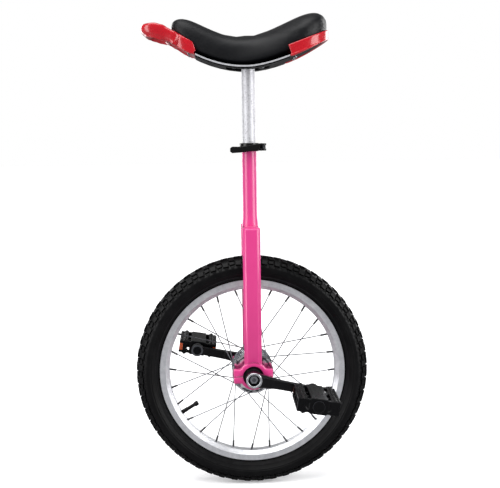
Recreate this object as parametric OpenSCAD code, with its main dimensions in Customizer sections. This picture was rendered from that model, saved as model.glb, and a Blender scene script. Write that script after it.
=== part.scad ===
// Unicycle with an 18 inch wheel, a split-bearing fork and a height-adjustable saddle.
// Frame: the origin is the tyre's contact point on the ground, under the axle.
// +Z is up, -X is forward (the saddle's handle), +Y is the rider's right, along the axle.

/* [Wheel] */
// Diameter of the rim's bead seat
bead_d = 355; // [300:1:430]
// Height of the tyre's section above the bead seat
tyre_h = 53.5; // [44:0.5:65]
// Width of the tyre's section
tyre_w = 54; // [44:1:64]
// Thickness of the tyre's sidewall
sidewall = 3; // [2:0.5:5]
// Thickness of the tyre under the tread, blocks included
tread_t = 8; // [6:0.5:11]
// Width of the rim over its side walls
rim_w = 28; // [24:0.5:34]
// Depth of the rim from its outer edge to its inner face
rim_depth = 18.5; // [16:0.5:24]
// Height of the rim's hooks above the bead seat
hook_h = 6.5; // [5:0.5:8]
// Thickness of the rim's walls
rim_wall = 1.5; // [1.2:0.1:2.4]
// Number of spokes
spoke_count = 28; // [20:4:36]
// Diameter of a spoke
spoke_d = 2; // [1.6:0.1:2.4]
// Length of a spoke nipple on the hub's side of the rim
nipple_l = 13; // [10:0.5:16]
// Diameter of a spoke nipple
nipple_d = 4; // [3.6:0.1:4.6]
// Angle of the first spoke's nipple from straight down, towards +X
first_nipple = -1.4; // [-6:0.1:6]
// Diameter of the valve's rubber stem
valve_d = 8.3; // [6:0.1:8.8]
// Length of the valve that stands inside the rim, cap included
valve_l = 37.5; // [30:0.5:46]

/* [Hub and bearings] */
// Diameter of the hub's flanges
flange_d = 82; // [70:1:98]
// Thickness of a flange
flange_t = 3; // [2.5:0.1:4]
// Distance between the middles of the two flanges
flange_span = 56; // [48:1:60]
// Diameter of the circle of spoke holes in a flange
hole_pcd = 73; // [62:1:76]
// Diameter of the hub's barrel
barrel_d = 32; // [28:0.5:40]
// Diameter of the axle inside the hub
axle_d = 20; // [18:0.5:22]
// Diameter of the bearings' bore
bearing_bore = 17; // [15:0.5:18]
// Outside diameter of the bearings
bearing_od = 40; // [36:1:47]
// Width of a bearing
bearing_w = 12; // [10:1:14]
// Distance between the middles of the two bearings
bearing_span = 100; // [96:1:120]

/* [Fork] */
// Width of a fork leg, front to back
leg_w = 34; // [29:1:40]
// Thickness of a fork leg, side to side
leg_t = 16; // [14:0.5:19]
// Bevel along a leg's outer corners
leg_bevel = 6; // [3:0.5:7]
// Wall of a fork leg
leg_wall = 2; // [1.5:0.1:3]
// Gap between the tyre and the fork crown
crown_gap = 28; // [20:1:50]
// Height of the fork crown
crown_h = 30; // [24:1:44]
// Wall of a bearing housing around its bearing
housing_wall = 8; // [6:0.5:10]
// Thickness of a bearing housing, side to side
housing_t = 14; // [12:0.5:16]
// Reach of a housing's ears from the axle
ear_reach = 38; // [36:1:46]
// Height of each ear
ear_h = 13; // [11:0.5:16]
// Gap between a housing and its cap
cap_gap = 1; // [0.5:0.1:2]
// Diameter of the bearing cap screws
screw_d = 6; // [5:0.5:8]

/* [Seat tube and post] */
// Outside diameter of the seat tube
tube_d = 28.6; // [27:0.1:34]
// Length of the seat tube above the fork crown
tube_l = 160; // [120:1:220]
// Diameter of the seat post
post_d = 25.4; // [22:0.1:27.2]
// Radial gap between the seat post and the seat tube
post_fit = 0.08; // [0.03:0.01:0.1]
// Wall of the seat post
post_wall = 2; // [1.5:0.1:3]
// Length of the seat post
post_l = 255; // [200:1:300]
// Seat post left showing between the seat tube and the saddle
post_show = 148; // [110:1:180]
// Height of the seat clamp
clamp_h = 15.5; // [12:0.5:19]
// Wall of the seat clamp
clamp_wall = 4; // [3:0.5:6]
// Length of the clamp lever, from its pin to its tip
lever_l = 62; // [52:1:74]

/* [Cranks] */
// Length of a crank between its axle and its pedal
crank_l = 114; // [89:1:140]
// Angle of the left crank below level, at the back
crank_angle = 11.4; // [0:0.1:45]
// Diameter of a crank's boss
boss_d = 30.6; // [28:0.2:36]
// Length of a crank's boss along the axle
boss_w = 26; // [24:0.5:30]
// Height of a crank arm next to its boss
arm_root = 19; // [15:0.5:22]
// Height of a crank arm next to its pedal
arm_tip = 15.5; // [13:0.5:18]
// Thickness of a crank arm
arm_t = 13; // [11:0.5:16]
// Diameter of a crank's pedal end
eye_d = 26; // [22:0.5:30]
// Distance that a crank's pedal end stands out past its boss
splay = 2.5; // [0:0.5:6]
// Diameter of the extractor thread in a crank's boss
puller_d = 22; // [20:0.5:24]

/* [Pedals] */
// Width of a pedal along its spindle
pedal_l = 92; // [78:1:110]
// Length of a pedal, front to back
pedal_w = 78; // [70:1:94]
// Height of a pedal
pedal_h = 29; // [28:1:35]
// Tilt of both pedals, back edge down
pedal_tilt = 9; // [0:1:20]
// Diameter of a pedal's barrel
pedal_barrel = 25; // [23:0.5:28]
// Diameter of a pedal spindle's thread
spindle_d = 14.2; // [12:0.1:15]

/* [Saddle] */
// Distance from the post to the front of the pad
pad_front = 148; // [124:1:178]
// Distance from the post to the back of the pad
pad_back = 152; // [127:1:182]
// Width of the pad at its nose
nose_w = 84; // [72:1:100]
// Width of the pad at its back
tail_w = 152; // [128:1:182]
// Height of the pad above the saddle's base, at the post
pad_h = 57; // [48:1:68]
// Height that the pad's nose rises above its middle
nose_rise = 36; // [28:1:44]
// Height that the pad's tail rises above its middle
tail_rise = 43; // [34:1:52]
// Height that the base's nose rises above its middle
base_nose_rise = 53.5; // [44:0.5:60]
// Height that the base's tail rises above its middle
base_tail_rise = 48.5; // [40:0.5:58]
// Thickness of the saddle's base
base_t = 5; // [4:0.5:7]
// Height of the bumpers
bumper_h = 22; // [17:1:26]
// Thickness of the bumpers
bumper_t = 4; // [3:0.5:6]
// Length of the front bumper, back from the pad's nose
bumper_front_l = 47; // [40:1:56]
// Length of the rear bumper, forward from the pad's back
bumper_back_l = 76; // [64:1:90]
// Thickness of the bumpers' lips under the base
lip_t = 2.2; // [1.5:0.1:3]
// Distance that the handle reaches in front of the pad
handle_l = 56; // [47:1:68]
// Width of the finger slot in the handle, front to back
slot_w = 26; // [22:1:32]

/* [Hidden] */
$fn = 64;
e = 0.02;      // clearance of a pressed or bolted fit
gap = 0.3;     // clearance between parts that only lie near each other
bead_r = bead_d / 2;
hook_r = bead_r + hook_h;
rim_in = hook_r - rim_depth;
well_r = bead_r - 3;
tyre_r = bead_r + tyre_h;
axle_z = tyre_r;
tyre_hh = (tyre_h - hook_h) / 2 + 0.25;      // half height of the tyre's oval
tyre_mid = tyre_r - tyre_hh;
bead_y = rim_w / 2 - 2.4;                    // bead's outer face
cavity_hw = tyre_w / 2 - sidewall;
cavity_hh = tyre_hh - tread_t;
tube_r = min(cavity_hh, cavity_hw) - 0.5;    // the inner tube's round part
neck_y = bead_y - 5;
spoke_r = spoke_d / 2;
nipple_r = nipple_d / 2;
crosses = 2;
twist = crosses * 720 / spoke_count;
hole_r = hole_pcd / 2;
flange_y = flange_span / 2;
valve_angle = first_nipple - 360 / spoke_count * 4.5;
bearing_y = bearing_span / 2;
shoulder_y = bearing_y - bearing_w / 2;      // axle's shoulder, against the inner race
bearing_r = bearing_od / 2;
ball_r = bearing_od * 0.08;
pitch_r = (bearing_od + bearing_bore) / 4 + 0.15;
groove_r = ball_r + gap;
ball_count = 8;
race_in_r = pitch_r - 1.9;
race_out_r = pitch_r + 1.9;
leg_in = bearing_y - leg_t / 2;
leg_out = bearing_y + leg_t / 2;
housing_r = bearing_r + housing_wall;
cap_r = housing_r - 2;
blend_r = 9;
blend_steps = 5;
blend_y = ear_h + cap_gap / 2 + blend_r;
blend_x = sqrt(pow(housing_r + blend_r, 2) - pow(blend_y, 2));
blend_end = atan2(blend_y, blend_x) - 180;
screw_x = (bearing_r + ear_reach) / 2 + 1;
crown_z = 2 * tyre_r + crown_gap;
crown_top = crown_z + crown_h;
tube_top = crown_top + tube_l;
tube_r_out = tube_d / 2;
post_r = post_d / 2;
tube_bore = post_r + post_fit;
clamp_z = tube_top - clamp_h / 2 + 1.5;      // middle of the clamp's height
clamp_in = tube_r_out + 0.1;
clamp_r = clamp_in + clamp_wall;
ear_x = clamp_r + 6;                         // skewer's distance behind the tube
ear_y = 9;
cam_r = 8;
cam_y = ear_y + 3 + gap + cam_r;
cam_h = 14;
skewer_r = 2.5;
seat_z = tube_top + post_show;               // underside of the base at the post
post_top = seat_z + 6;
bumper_front_x = bumper_front_l - pad_front; // where the front bumper ends
bumper_back_x = pad_back - bumper_back_l;    // where the rear bumper starts
bumper_screw_r = 1.6;
base_tail = pad_back - 7;                    // where the base's rise at the back is measured
crank_in = bearing_y + bearing_w / 2 + 4;
crank_out = crank_in + boss_w;
puller_l = 6;
nut_seat = crank_in + 11.5;
spindle_y = crank_out + splay;               // crank face that the spindle's flange meets
spindle_r = spindle_d / 2;
pedal_in = 5;
pedal_out = pedal_in + pedal_l;
pedal_bore = 9;
bush_fit = 0.08;
lens_t = 7.5;
lens_h = 15;

// Placing
module on_axle() translate([0, 0, axle_z]) children();
module round_axle() on_axle() rotate([-90, 0, 0]) children();      // local Z becomes +Y
module slab(y0, y1) translate([0, y1, 0]) rotate([90, 0, 0]) linear_extrude(y1 - y0) children();
module side(s) {
  if (s < 0) mirror([0, 1, 0]) children();
  else children();
}
module pipe(y0, y1, r_out, r_in) rotate([-90, 0, 0]) translate([0, 0, y0]) difference() {
  cylinder(h = y1 - y0, r = r_out);
  translate([0, 0, -1]) cylinder(h = y1 - y0 + 2, r = r_in);
}
module bar(y0, y1, r) rotate([-90, 0, 0]) translate([0, 0, y0]) cylinder(h = y1 - y0, r = r);
module rod(a, b, r) {
  d = b - a;
  l = norm(d);
  translate(a) rotate([0, acos(d[2] / l), atan2(d[1], d[0])]) cylinder(h = l, r = r, $fn = 24);
}
module hex(y0, y1, across, r_in) rotate([-90, 0, 0]) translate([0, 0, y0]) difference() {
  cylinder(h = y1 - y0, d = across / cos(30), $fn = 6);
  translate([0, 0, -1]) cylinder(h = y1 - y0 + 2, r = r_in);
}

// Wheel
function oval(r, hh, hw, a) = [r + hh * cos(a), hw * sin(a)];
module tyre() {
  outer_a = 180 - asin(bead_y / (tyre_w / 2));
  inner_a = 180 - asin((bead_y - 2.5) / cavity_hw);
  steps = 14;
  lip = [[hook_r + 0.4, bead_y], [bead_r + e, bead_y], [bead_r + e, bead_y - 3.2],
         [hook_r, bead_y - 3.2]];
  color("#1b1b1d") round_axle() rotate_extrude($fn = 128) polygon(concat(
    [for (i = [-steps:steps]) oval(tyre_mid, tyre_hh, tyre_w / 2, outer_a * i / steps)],
    lip,
    [for (i = [steps:-1:-steps]) oval(tyre_mid, cavity_hh, cavity_hw, inner_a * i / steps)],
    [for (i = [3:-1:0]) [lip[i][0], -lip[i][1]]]));
}
module tube_section(inset) {
  translate([tyre_mid, 0]) circle(r = tube_r - inset);
  translate([well_r + 1 + inset, -neck_y + inset])
    square([tyre_mid - well_r - 12, 2 * (neck_y - inset)]);
}
module inner_tube() {
  color("#2a2a2c") round_axle() rotate_extrude($fn = 128) difference() {
    tube_section(0);
    tube_section(1.2);
  }
}
module valve_hole(r) on_axle() rotate([0, -valve_angle, 0])
  translate([0, 0, -well_r - 3]) cylinder(h = 20 + rim_depth, r = r);
module rim_tape() {
  color("#33312e") difference() {
    round_axle() rotate_extrude($fn = 128) translate([well_r + 0.1, -neck_y]) square([0.8, 2 * neck_y]);
    valve_hole(valve_d / 2 + e);
  }
}
module rim_section() {
  w = rim_w / 2;
  t = rim_wall;
  crease_r = hook_r - rim_depth * 0.6;
  difference() {
    polygon([[hook_r, w], [crease_r, w], [rim_in, w - 6], [rim_in, 6 - w], [crease_r, -w],
             [hook_r, -w], [hook_r, 2.2 - w], [bead_r, 2.2 - w], [bead_r, 5 - w],
             [well_r, 7.2 - w], [well_r, w - 7.2], [bead_r, w - 5], [bead_r, w - 2.2],
             [hook_r, w - 2.2]]);
    polygon([[well_r - t, w - 7.5], [bead_r - t, w - 5.5], [bead_r - t, w - t],
             [crease_r + 0.5, w - t], [rim_in + t, w - 6.6], [rim_in + t, 6.6 - w],
             [crease_r + 0.5, t - w], [bead_r - t, t - w], [bead_r - t, 5.5 - w],
             [well_r - t, 7.5 - w]]);
  }
}
// A spoke's own places: its side, the nipple's seat on the rim and the elbow at the flange
function spoke_side(k) = k % 2 == 0 ? -1 : 1;
function spoke_out(k) = k % 4 < 2 ? 1 : -1;
function nipple_at(k) = first_nipple + 360 / spoke_count * k;
function hub_at(k) = nipple_at(k) + (k % 4 < 2 ? twist : -twist);
function wheel_point(r, a, y) = [r * sin(a), y, -r * cos(a)];
function seat_point(k) = wheel_point(rim_in, nipple_at(k), 2 * spoke_side(k));
// An outer spoke's elbow stands off its flange, so that the spoke clears the flange's edge
function stand_off(k) = flange_t / 2 + spoke_r + 0.1 + (spoke_out(k) > 0 ? (flange_d - hole_pcd) / 4 : 0);
function elbow(k) = wheel_point(hole_r, hub_at(k), spoke_side(k) * (flange_y + spoke_out(k) * stand_off(k)));
function spoke_dir(k) = (elbow(k) - seat_point(k)) / norm(elbow(k) - seat_point(k));
module rim() {
  color("#b9bcc2") difference() {
    round_axle() rotate_extrude($fn = 128) rim_section();
    on_axle() for (k = [0:spoke_count - 1]) {
      rod(seat_point(k) - 4 * spoke_dir(k), seat_point(k) + 6 * spoke_dir(k), nipple_r + 0.3);
      rod(wheel_point(well_r - 3, nipple_at(k), 0), wheel_point(well_r + 2, nipple_at(k), 0), 4);
    }
    valve_hole(valve_d / 2 + e);
  }
}
module spoke(k) {
  a = seat_point(k) + 2 * spoke_dir(k);
  b = elbow(k);
  inward = [0, -spoke_side(k) * spoke_out(k), 0];
  head = b + inward * (stand_off(k) + flange_t / 2 + spoke_r + 0.3);
  rod(a, b, spoke_r);
  translate(b) sphere(r = spoke_r * 1.06, $fn = 24);
  rod(b, head, spoke_r);
  rod(head - inward * (spoke_r - 0.1), head + inward, spoke_d);
}
module spokes(s) {
  color("#c4c7cc") on_axle() for (k = [s < 0 ? 0 : 1 : 2 : spoke_count - 1]) spoke(k);
}
module left_spokes() spokes(-1);
module right_spokes() spokes(1);
module spoke_nipples() {
  color("#8e9095") on_axle() for (k = [0:spoke_count - 1]) {
    n = seat_point(k);
    u = spoke_dir(k);
    difference() {
      union() {
        rod(n - 3.5 * u, n + nipple_l * u, nipple_r);
        rod(n - 4.7 * u, n - 2.7 * u, nipple_d * 0.75);
      }
      rod(n + u, n + (nipple_l + 1) * u, spoke_r + e);
    }
  }
}
module valve_stem() {
  color("#1d1d1f") on_axle() rotate([0, -valve_angle, 0]) {
    translate([0, 0, -well_r - 1 + e]) cylinder(h = well_r - rim_in + 14, r = valve_d / 2);
    translate([0, 0, -rim_in + 12]) cylinder(h = valve_l - 20, r = 3.6);
    translate([0, 0, -rim_in + valve_l - 9]) cylinder(h = 5, r = 2.6);
  }
}
module valve_cap() {
  color("#111113") on_axle() rotate([0, -valve_angle, 0]) translate([0, 0, -rim_in + valve_l - 8])
    difference() {
      cylinder(h = 8, r = 4.5);
      translate([0, 0, -1]) cylinder(h = 5.5, r = 2.6 + e);
    }
}

// Hub, axle and bearings
module flange_profile() {
  f = flange_y;
  t = flange_t / 2;
  polygon([[axle_d / 2 + e, -f - t - 4], [barrel_d / 2, -f - t - 4], [barrel_d / 2 + 4, -f - t],
           [flange_d / 2, -f - t], [flange_d / 2, -f + t], [barrel_d / 2 + 6, -f + t],
           [barrel_d / 2, -f + t + 9], [barrel_d / 2, f - t - 9], [barrel_d / 2 + 6, f - t],
           [flange_d / 2, f - t], [flange_d / 2, f + t], [barrel_d / 2 + 4, f + t],
           [barrel_d / 2, f + t + 4], [axle_d / 2 + e, f + t + 4]]);
}
module hub_shell() {
  color("#9fa2a8") difference() {
    round_axle() rotate_extrude() flange_profile();
    on_axle() for (k = [0:spoke_count - 1]) {
      p = wheel_point(hole_r, hub_at(k), spoke_side(k) * flange_y);
      rod(p - [0, flange_t, 0], p + [0, flange_t, 0], spoke_r + 0.15);
    }
  }
}
module taper(y0, y1, half0, grow) {
  half1 = half0 - (y1 - y0) * tan(2);
  outline = [[-half0 - grow, y0], [half0 + grow, y0], [half1 + grow, y1], [-half1 - grow, y1]];
  intersection() {
    translate([0, 0, -15]) linear_extrude(30) polygon(outline);
    rotate([0, 90, 0]) translate([0, 0, -15]) linear_extrude(30) polygon(outline);
  }
}
module axle() {
  color("#6d7076") on_axle() rotate([0, crank_angle, 0]) {
    bar(-shoulder_y, shoulder_y, axle_d / 2);
    bar(-crank_in, crank_in, bearing_bore / 2);
    for (s = [-1, 1]) side(s) {
      intersection() {
        taper(crank_in - 1, nut_seat - 1, 6.9, 0);
        bar(crank_in - 2, nut_seat, bearing_bore / 2);
      }
      bar(nut_seat - 2, crank_out - puller_l - 1, 4);
    }
  }
}
module groove() rotate([-90, 0, 0]) rotate_extrude($fn = 96)
  translate([pitch_r, 0]) circle(r = groove_r, $fn = 48);
module at_bearings() on_axle() for (s = [-1, 1]) translate([0, s * bearing_y, 0]) children();
module bearing_inner_races() {
  color("#c9ccd1") at_bearings() difference() {
    pipe(-bearing_w / 2 + e, bearing_w / 2 - e, race_in_r, bearing_bore / 2 + e);
    groove();
  }
}
module bearing_outer_races() {
  color("#2c2d30") at_bearings() difference() {
    pipe(-bearing_w / 2 + e, bearing_w / 2 - e, bearing_r, race_out_r);
    groove();
  }
}
module bearing_seals() {
  color("#141416") at_bearings() for (s = [-1, 1]) side(s)
    pipe(bearing_w / 2 - 1.1, bearing_w / 2 - 0.2, race_out_r - e, race_in_r + gap);
}
module balls(s) {
  color("#e4e6ea") on_axle() translate([0, s * bearing_y, 0]) for (i = [0:ball_count - 1])
    rotate([0, 360 / ball_count * i, 0]) translate([pitch_r, 0, 0]) sphere(r = ball_r);
}
module cage(s) {
  color("#a98a4b") on_axle() translate([0, s * bearing_y, 0]) difference() {
    pipe(-ball_r - 0.6, ball_r + 0.6, pitch_r + 0.9, pitch_r - 0.9);
    for (i = [0:ball_count - 1]) rotate([0, 360 / ball_count * i, 0])
      translate([pitch_r - 3, 0, 0]) rotate([0, 90, 0]) cylinder(h = 6, r = ball_r + 0.15);
  }
}
module left_bearing_balls() balls(-1);
module right_bearing_balls() balls(1);
module left_ball_cage() cage(-1);
module right_ball_cage() cage(1);
module axle_spacers() {
  color("#54565b") on_axle() for (s = [-1, 1]) side(s)
    pipe(bearing_y + bearing_w / 2, crank_in - e, race_in_r - 0.3, bearing_bore / 2 + e);
}

// Fork
module leg_outline(inset) {
  w = leg_w / 2 - inset;
  b = leg_bevel - inset * 0.4;
  polygon([[-w, leg_in + inset], [w, leg_in + inset], [w, leg_out - b], [w - b, leg_out - inset],
           [b - w, leg_out - inset], [-w, leg_out - b]]);
}
module leg(s) {
  color("#e4539a") side(s) difference() {
    translate([0, 0, axle_z]) linear_extrude(crown_top - axle_z) leg_outline(0);
    translate([0, 0, axle_z]) linear_extrude(crown_top - axle_z - 3) leg_outline(leg_wall);
    on_axle() bar(leg_in - 1, leg_out + 1, housing_r + e);
    translate([-leg_w, 0, 0]) cube([2 * leg_w, leg_out + 1, axle_z + 5]);
    // The leg's top is bevelled towards its outer face
    translate([-leg_w, leg_out - 3, crown_top]) rotate([-40, 0, 0]) cube([2 * leg_w, 20, 20]);
  }
}
module left_fork_leg() leg(-1);
module right_fork_leg() leg(1);
module fork_crown() {
  depth = leg_w - 4;
  color("#e4539a") difference() {
    translate([-depth / 2, e - leg_in, crown_z]) cube([depth, 2 * leg_in - 2 * e, crown_h]);
    translate([0, 0, crown_z - 1]) cylinder(h = crown_h + 2, r = tube_r_out + e);
    for (s = [-1, 1]) translate([-depth, s * (leg_in - 1), crown_z]) rotate([45, 0, 0])
      translate([0, -5, -5]) cube([2 * depth, 10, 10]);
  }
}
module seat_tube() {
  flare = 1.6;
  color("#e4539a") difference() {
    union() {
      translate([0, 0, crown_z]) cylinder(h = tube_top - crown_z, r = tube_r_out);
      translate([0, 0, crown_top + e]) cylinder(h = 4, r = tube_r_out + flare);
      translate([0, 0, crown_top + 4 + e]) cylinder(h = 16, r1 = tube_r_out + flare, r2 = tube_r_out);
    }
    translate([0, 0, crown_z - 1]) cylinder(h = tube_top - crown_z + 2, r = tube_bore);
    // The clamping slit, at the back
    translate([0, -1.25, tube_top - 32]) cube([tube_d, 2.5, 40]);
    translate([0, 0, tube_top - 32]) rotate([0, 90, 0]) cylinder(h = tube_d, r = 2.5);
  }
}
// Hollow blends between the ears and the ring
function blend(i) = let (a = -90 + (blend_end + 90) * i / blend_steps)
  [blend_x + blend_r * cos(a), blend_y + blend_r * sin(a)];
module housing_outline() {
  difference() {
    union() {
      circle(r = housing_r);
      translate([-ear_reach, 0]) square([2 * ear_reach, ear_h + cap_gap / 2]);
      polygon(concat([[-blend_x, 0], [blend_x, 0]],
                     [for (i = [0:blend_steps]) blend(i)],
                     [for (i = [blend_steps:-1:0]) [-blend(i).x, blend(i).y]]));
    }
    circle(r = bearing_r + e);
    translate([-100, cap_gap / 2 - 100]) square([200, 100]);
    difference() {
      translate([-leg_w / 2 - e, 0]) square([leg_w + 2 * e, 100]);
      circle(r = housing_r);
    }
  }
}
module housing(s) {
  color("#e4539a") on_axle() side(s) difference() {
    slab(bearing_y - housing_t / 2, bearing_y + housing_t / 2) housing_outline();
    for (x = [-screw_x, screw_x]) translate([x, bearing_y, -1]) cylinder(h = ear_h - 1, r = screw_d / 2 + e);
  }
}
module cap(s) {
  color("#d94a90") on_axle() side(s) difference() {
    slab(bearing_y - housing_t / 2, bearing_y + housing_t / 2) difference() {
      union() {
        circle(r = cap_r);
        translate([-ear_reach, -ear_h]) square([2 * ear_reach, ear_h]);
      }
      circle(r = bearing_r + e);
      translate([-100, -cap_gap / 2]) square([200, 100]);
    }
    for (x = [-screw_x, screw_x]) translate([x, bearing_y, -2 * ear_h])
      cylinder(h = 3 * ear_h, r = screw_d / 2 + 0.25);
  }
}
module left_bearing_housing() housing(-1);
module right_bearing_housing() housing(1);
module left_bearing_cap() cap(-1);
module right_bearing_cap() cap(1);
module bearing_cap_screws() {
  head_h = screw_d * 0.8;
  color("#85878c") on_axle() for (s = [-1, 1], x = [-screw_x, screw_x])
    translate([x, s * bearing_y, -ear_h - head_h - e]) difference() {
      union() {
        cylinder(h = head_h, d = screw_d * 1.65);
        cylinder(h = ear_h * 2 + head_h - 4, d = screw_d);
      }
      translate([0, 0, -1]) cylinder(h = 4, d = screw_d * 0.9, $fn = 6);
    }
}

// Cranks, drawn on the +Y side with the axle at the origin and the pedal along +X
module crank(s) {
  flat = crank_l - eye_d / 2;
  color("#232326") on_axle() side(s) rotate([0, s < 0 ? crank_angle : crank_angle + 180, 0])
    difference() {
      union() {
        slab(crank_in, crank_out) circle(d = boss_d);
        slab(spindle_y - arm_t, spindle_y) translate([crank_l, 0]) circle(d = eye_d);
        intersection() {
          slab(crank_in, spindle_y + 1) polygon([[0, -arm_root / 2], [crank_l, -arm_tip / 2],
                                                [crank_l, arm_tip / 2], [0, arm_root / 2]]);
          translate([0, 0, -20]) linear_extrude(40) polygon([[0, crank_out - arm_t],
            [flat, spindle_y - arm_t], [crank_l, spindle_y - arm_t], [crank_l, spindle_y],
            [flat, spindle_y], [boss_d / 2, crank_out], [0, crank_out]]);
        }
      }
      taper(crank_in - 1, nut_seat + 1, 6.9, e);
      bar(nut_seat, crank_out, puller_d / 2 - 1.4);
      bar(crank_out - puller_l, crank_out + 1, puller_d / 2);
      translate([crank_l, 0, 0]) bar(spindle_y - arm_t - 1, spindle_y + 1, spindle_r + e);
    }
}
module left_crank() crank(-1);
module right_crank() crank(1);
module crank_washers() {
  color("#b4b6bb") on_axle() for (s = [-1, 1]) side(s)
    pipe(nut_seat + e, nut_seat + 1.4, puller_d / 2 - 2, 4 + e);
}
module crank_nuts() {
  color("#3a3b3f") on_axle() for (s = [-1, 1]) side(s)
    hex(nut_seat + 1.4 + e, crank_out - puller_l - 1, 14, 4 + e);
}

// Pedals, drawn on the +Y side of the crank's face with the spindle at the origin
module at_pedal(s, tilt) {
  a = s < 0 ? crank_angle : crank_angle + 180;
  translate([crank_l * cos(a), s * spindle_y, axle_z - crank_l * sin(a)])
    rotate([0, tilt, 0]) side(s) children();
}
module spindle(s) {
  color("#9a9ca1") at_pedal(s, 0) {
    bar(-arm_t, 0.5, spindle_r);
    bar(e, 2.6, pedal_bore);
    bar(2, 9, spindle_r - 0.4);
    bar(8, pedal_out - 30, 6);
    bar(pedal_out - 31, pedal_out - 16, 4.5);
    bar(pedal_out - 17, pedal_out - 10, 3.5);
  }
}
module left_pedal_spindle() spindle(-1);
module right_pedal_spindle() spindle(1);
module pedal_locknuts() {
  color("#77797e") for (s = [-1, 1]) at_pedal(s, 0)
    hex(pedal_out - 16 + e, pedal_out - 11, 11, 3.5 + e);
}
module pedal_profile() {
  w = pedal_w / 2;
  h = pedal_h / 2;
  difference() {
    polygon([[-w, -h * 0.62], [-w + 4, -h + 2], [-w + 8, -h + 2], [w - 8, -h + 2], [w - 4, -h + 2],
             [w, -h * 0.62], [w, h * 0.62], [w - 4, h - 2], [4 - w, h - 2], [-w, h * 0.62]]);
    for (m = [-1, 1]) polygon([[m * (pedal_barrel / 2 + 5), h - 6], [m * (pedal_barrel / 2 + 5), 6 - h],
                               [m * (w - lens_t - 4), 0]]);
  }
}
module tooth_rail(l, h) {
  count = 9;
  pitch = l / count;
  polygon(concat([[0, -h + 2]],
    [for (i = [0:count - 1], p = [[0.15, 0], [0.3, 2], [0.7, 2], [0.85, 0]])
      [(i + p[0]) * pitch, h - 2 + p[1]]],
    [[l, -h + 2]]));
}
module pedal_body(s) {
  w = pedal_w / 2;
  h = pedal_h / 2;
  rail_in = w - lens_t - 9;
  color("#1e1e21") at_pedal(s, pedal_tilt) difference() {
    union() {
      bar(pedal_in, pedal_out, pedal_barrel / 2);
      slab(pedal_in, pedal_in + 7) pedal_profile();
      slab(pedal_out - 7, pedal_out) pedal_profile();
      for (m = [0, 1]) mirror([m, 0, 0]) {
        // Rail with teeth on both edges, and the lips that hold the reflector
        for (f = [0, 1]) mirror([0, 0, f]) translate([rail_in, pedal_in, 0]) rotate([90, 0, 90])
          linear_extrude(9) intersection() {
            tooth_rail(pedal_l, h);
            translate([0, -1]) square([pedal_l, pedal_h]);
          }
        for (z = [-h + 2, lens_h / 2 + gap]) translate([rail_in, pedal_in, z])
          cube([w - rail_in, pedal_l, h - 2 - lens_h / 2 - gap]);
      }
      // Tread plates over the barrel, and two ribs
      translate([-pedal_barrel / 2 - 3, pedal_in, -h]) cube([pedal_barrel + 6, pedal_l, pedal_h]);
      for (y = [pedal_in + pedal_l * 0.36, pedal_in + pedal_l * 0.6])
        translate([-rail_in - 1, y, -h * 0.6]) cube([2 * rail_in + 2, 4, h * 1.2]);
    }
    bar(pedal_in - 1, pedal_out + 1, pedal_bore + e);
    for (m = [-1, 1]) translate([m * (w - lens_t / 2 + 0.5), pedal_in + (pedal_l - 7) / 2 - 1, 0])
      cube([lens_t + 1 + 2 * e, pedal_l - 5, lens_h + 2 * e], center = true);
  }
}
module reflectors(s) {
  w = pedal_w / 2;
  color("#e8891c") at_pedal(s, pedal_tilt) for (m = [-1, 1])
    translate([m * (w - lens_t / 2 - 0.1), pedal_in + (pedal_l - 7) / 2, 0])
      cube([lens_t - 0.4, pedal_l - 8, lens_h], center = true);
}
module bushes(s) {
  color("#d9d6cc") at_pedal(s, 0) {
    pipe(pedal_in + 4.5, pedal_in + 20, pedal_bore, 6 + bush_fit);
    pipe(pedal_out - 29.5, pedal_out - 16.5, pedal_bore, 4.5 + bush_fit);
  }
}
module pedal_cap(s) {
  color("#26262a") at_pedal(s, 0) {
    bar(pedal_out - 8, pedal_out + e, pedal_bore);
    bar(pedal_out + e, pedal_out + 1.5, pedal_bore + 2);
  }
}
module left_pedal_body() pedal_body(-1);
module right_pedal_body() pedal_body(1);
module left_pedal_reflectors() reflectors(-1);
module right_pedal_reflectors() reflectors(1);
module left_pedal_bushes() bushes(-1);
module right_pedal_bushes() bushes(1);
module left_pedal_cap() pedal_cap(-1);
module right_pedal_cap() pedal_cap(1);

// Quick-release seat clamp
module at_clamp() translate([0, 0, clamp_z]) children();
module seat_clamp() {
  color("#161618") at_clamp() difference() {
    union() {
      translate([0, 0, -clamp_h / 2]) cylinder(h = clamp_h, r = clamp_r);
      translate([clamp_in, -ear_y, -clamp_h / 2 + 1]) cube([ear_x + 7 - clamp_in, 2 * ear_y, clamp_h - 2]);
    }
    translate([0, 0, -clamp_h / 2 - 1])
      cylinder(h = tube_top + 0.1 - clamp_z + clamp_h / 2 + 1, r = clamp_in);
    translate([0, 0, -clamp_h]) cylinder(h = 2 * clamp_h, r = post_r + 0.3);
    translate([post_r - 1, -1.4, -clamp_h]) cube([ear_x + 10, 2.8, 2 * clamp_h]);
    translate([ear_x, 0, 0]) bar(-ear_y - 1, ear_y + 1, skewer_r + 0.15);
  }
}
module clamp_skewer() {
  eye_h = 5.4;
  color("#8b8d92") at_clamp() translate([ear_x, 0, 0]) difference() {
    union() {
      bar(-cam_y, ear_y + 13, skewer_r);
      translate([0, -cam_y, -eye_h / 2]) cylinder(h = eye_h, r = 4.4);
    }
    translate([0, -cam_y, -eye_h]) cylinder(h = 2 * eye_h, r = 2 + e);
  }
}
module cam_pin() {
  color("#9fa1a6") at_clamp() translate([ear_x, -cam_y, -cam_h / 2 + 0.5]) cylinder(h = cam_h - 1, r = 2);
}
module cam_washer() {
  color("#3b3c40") at_clamp() translate([ear_x, 0, 0]) pipe(-ear_y - 3, -ear_y - e, 7, skewer_r + 0.15);
}
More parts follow.
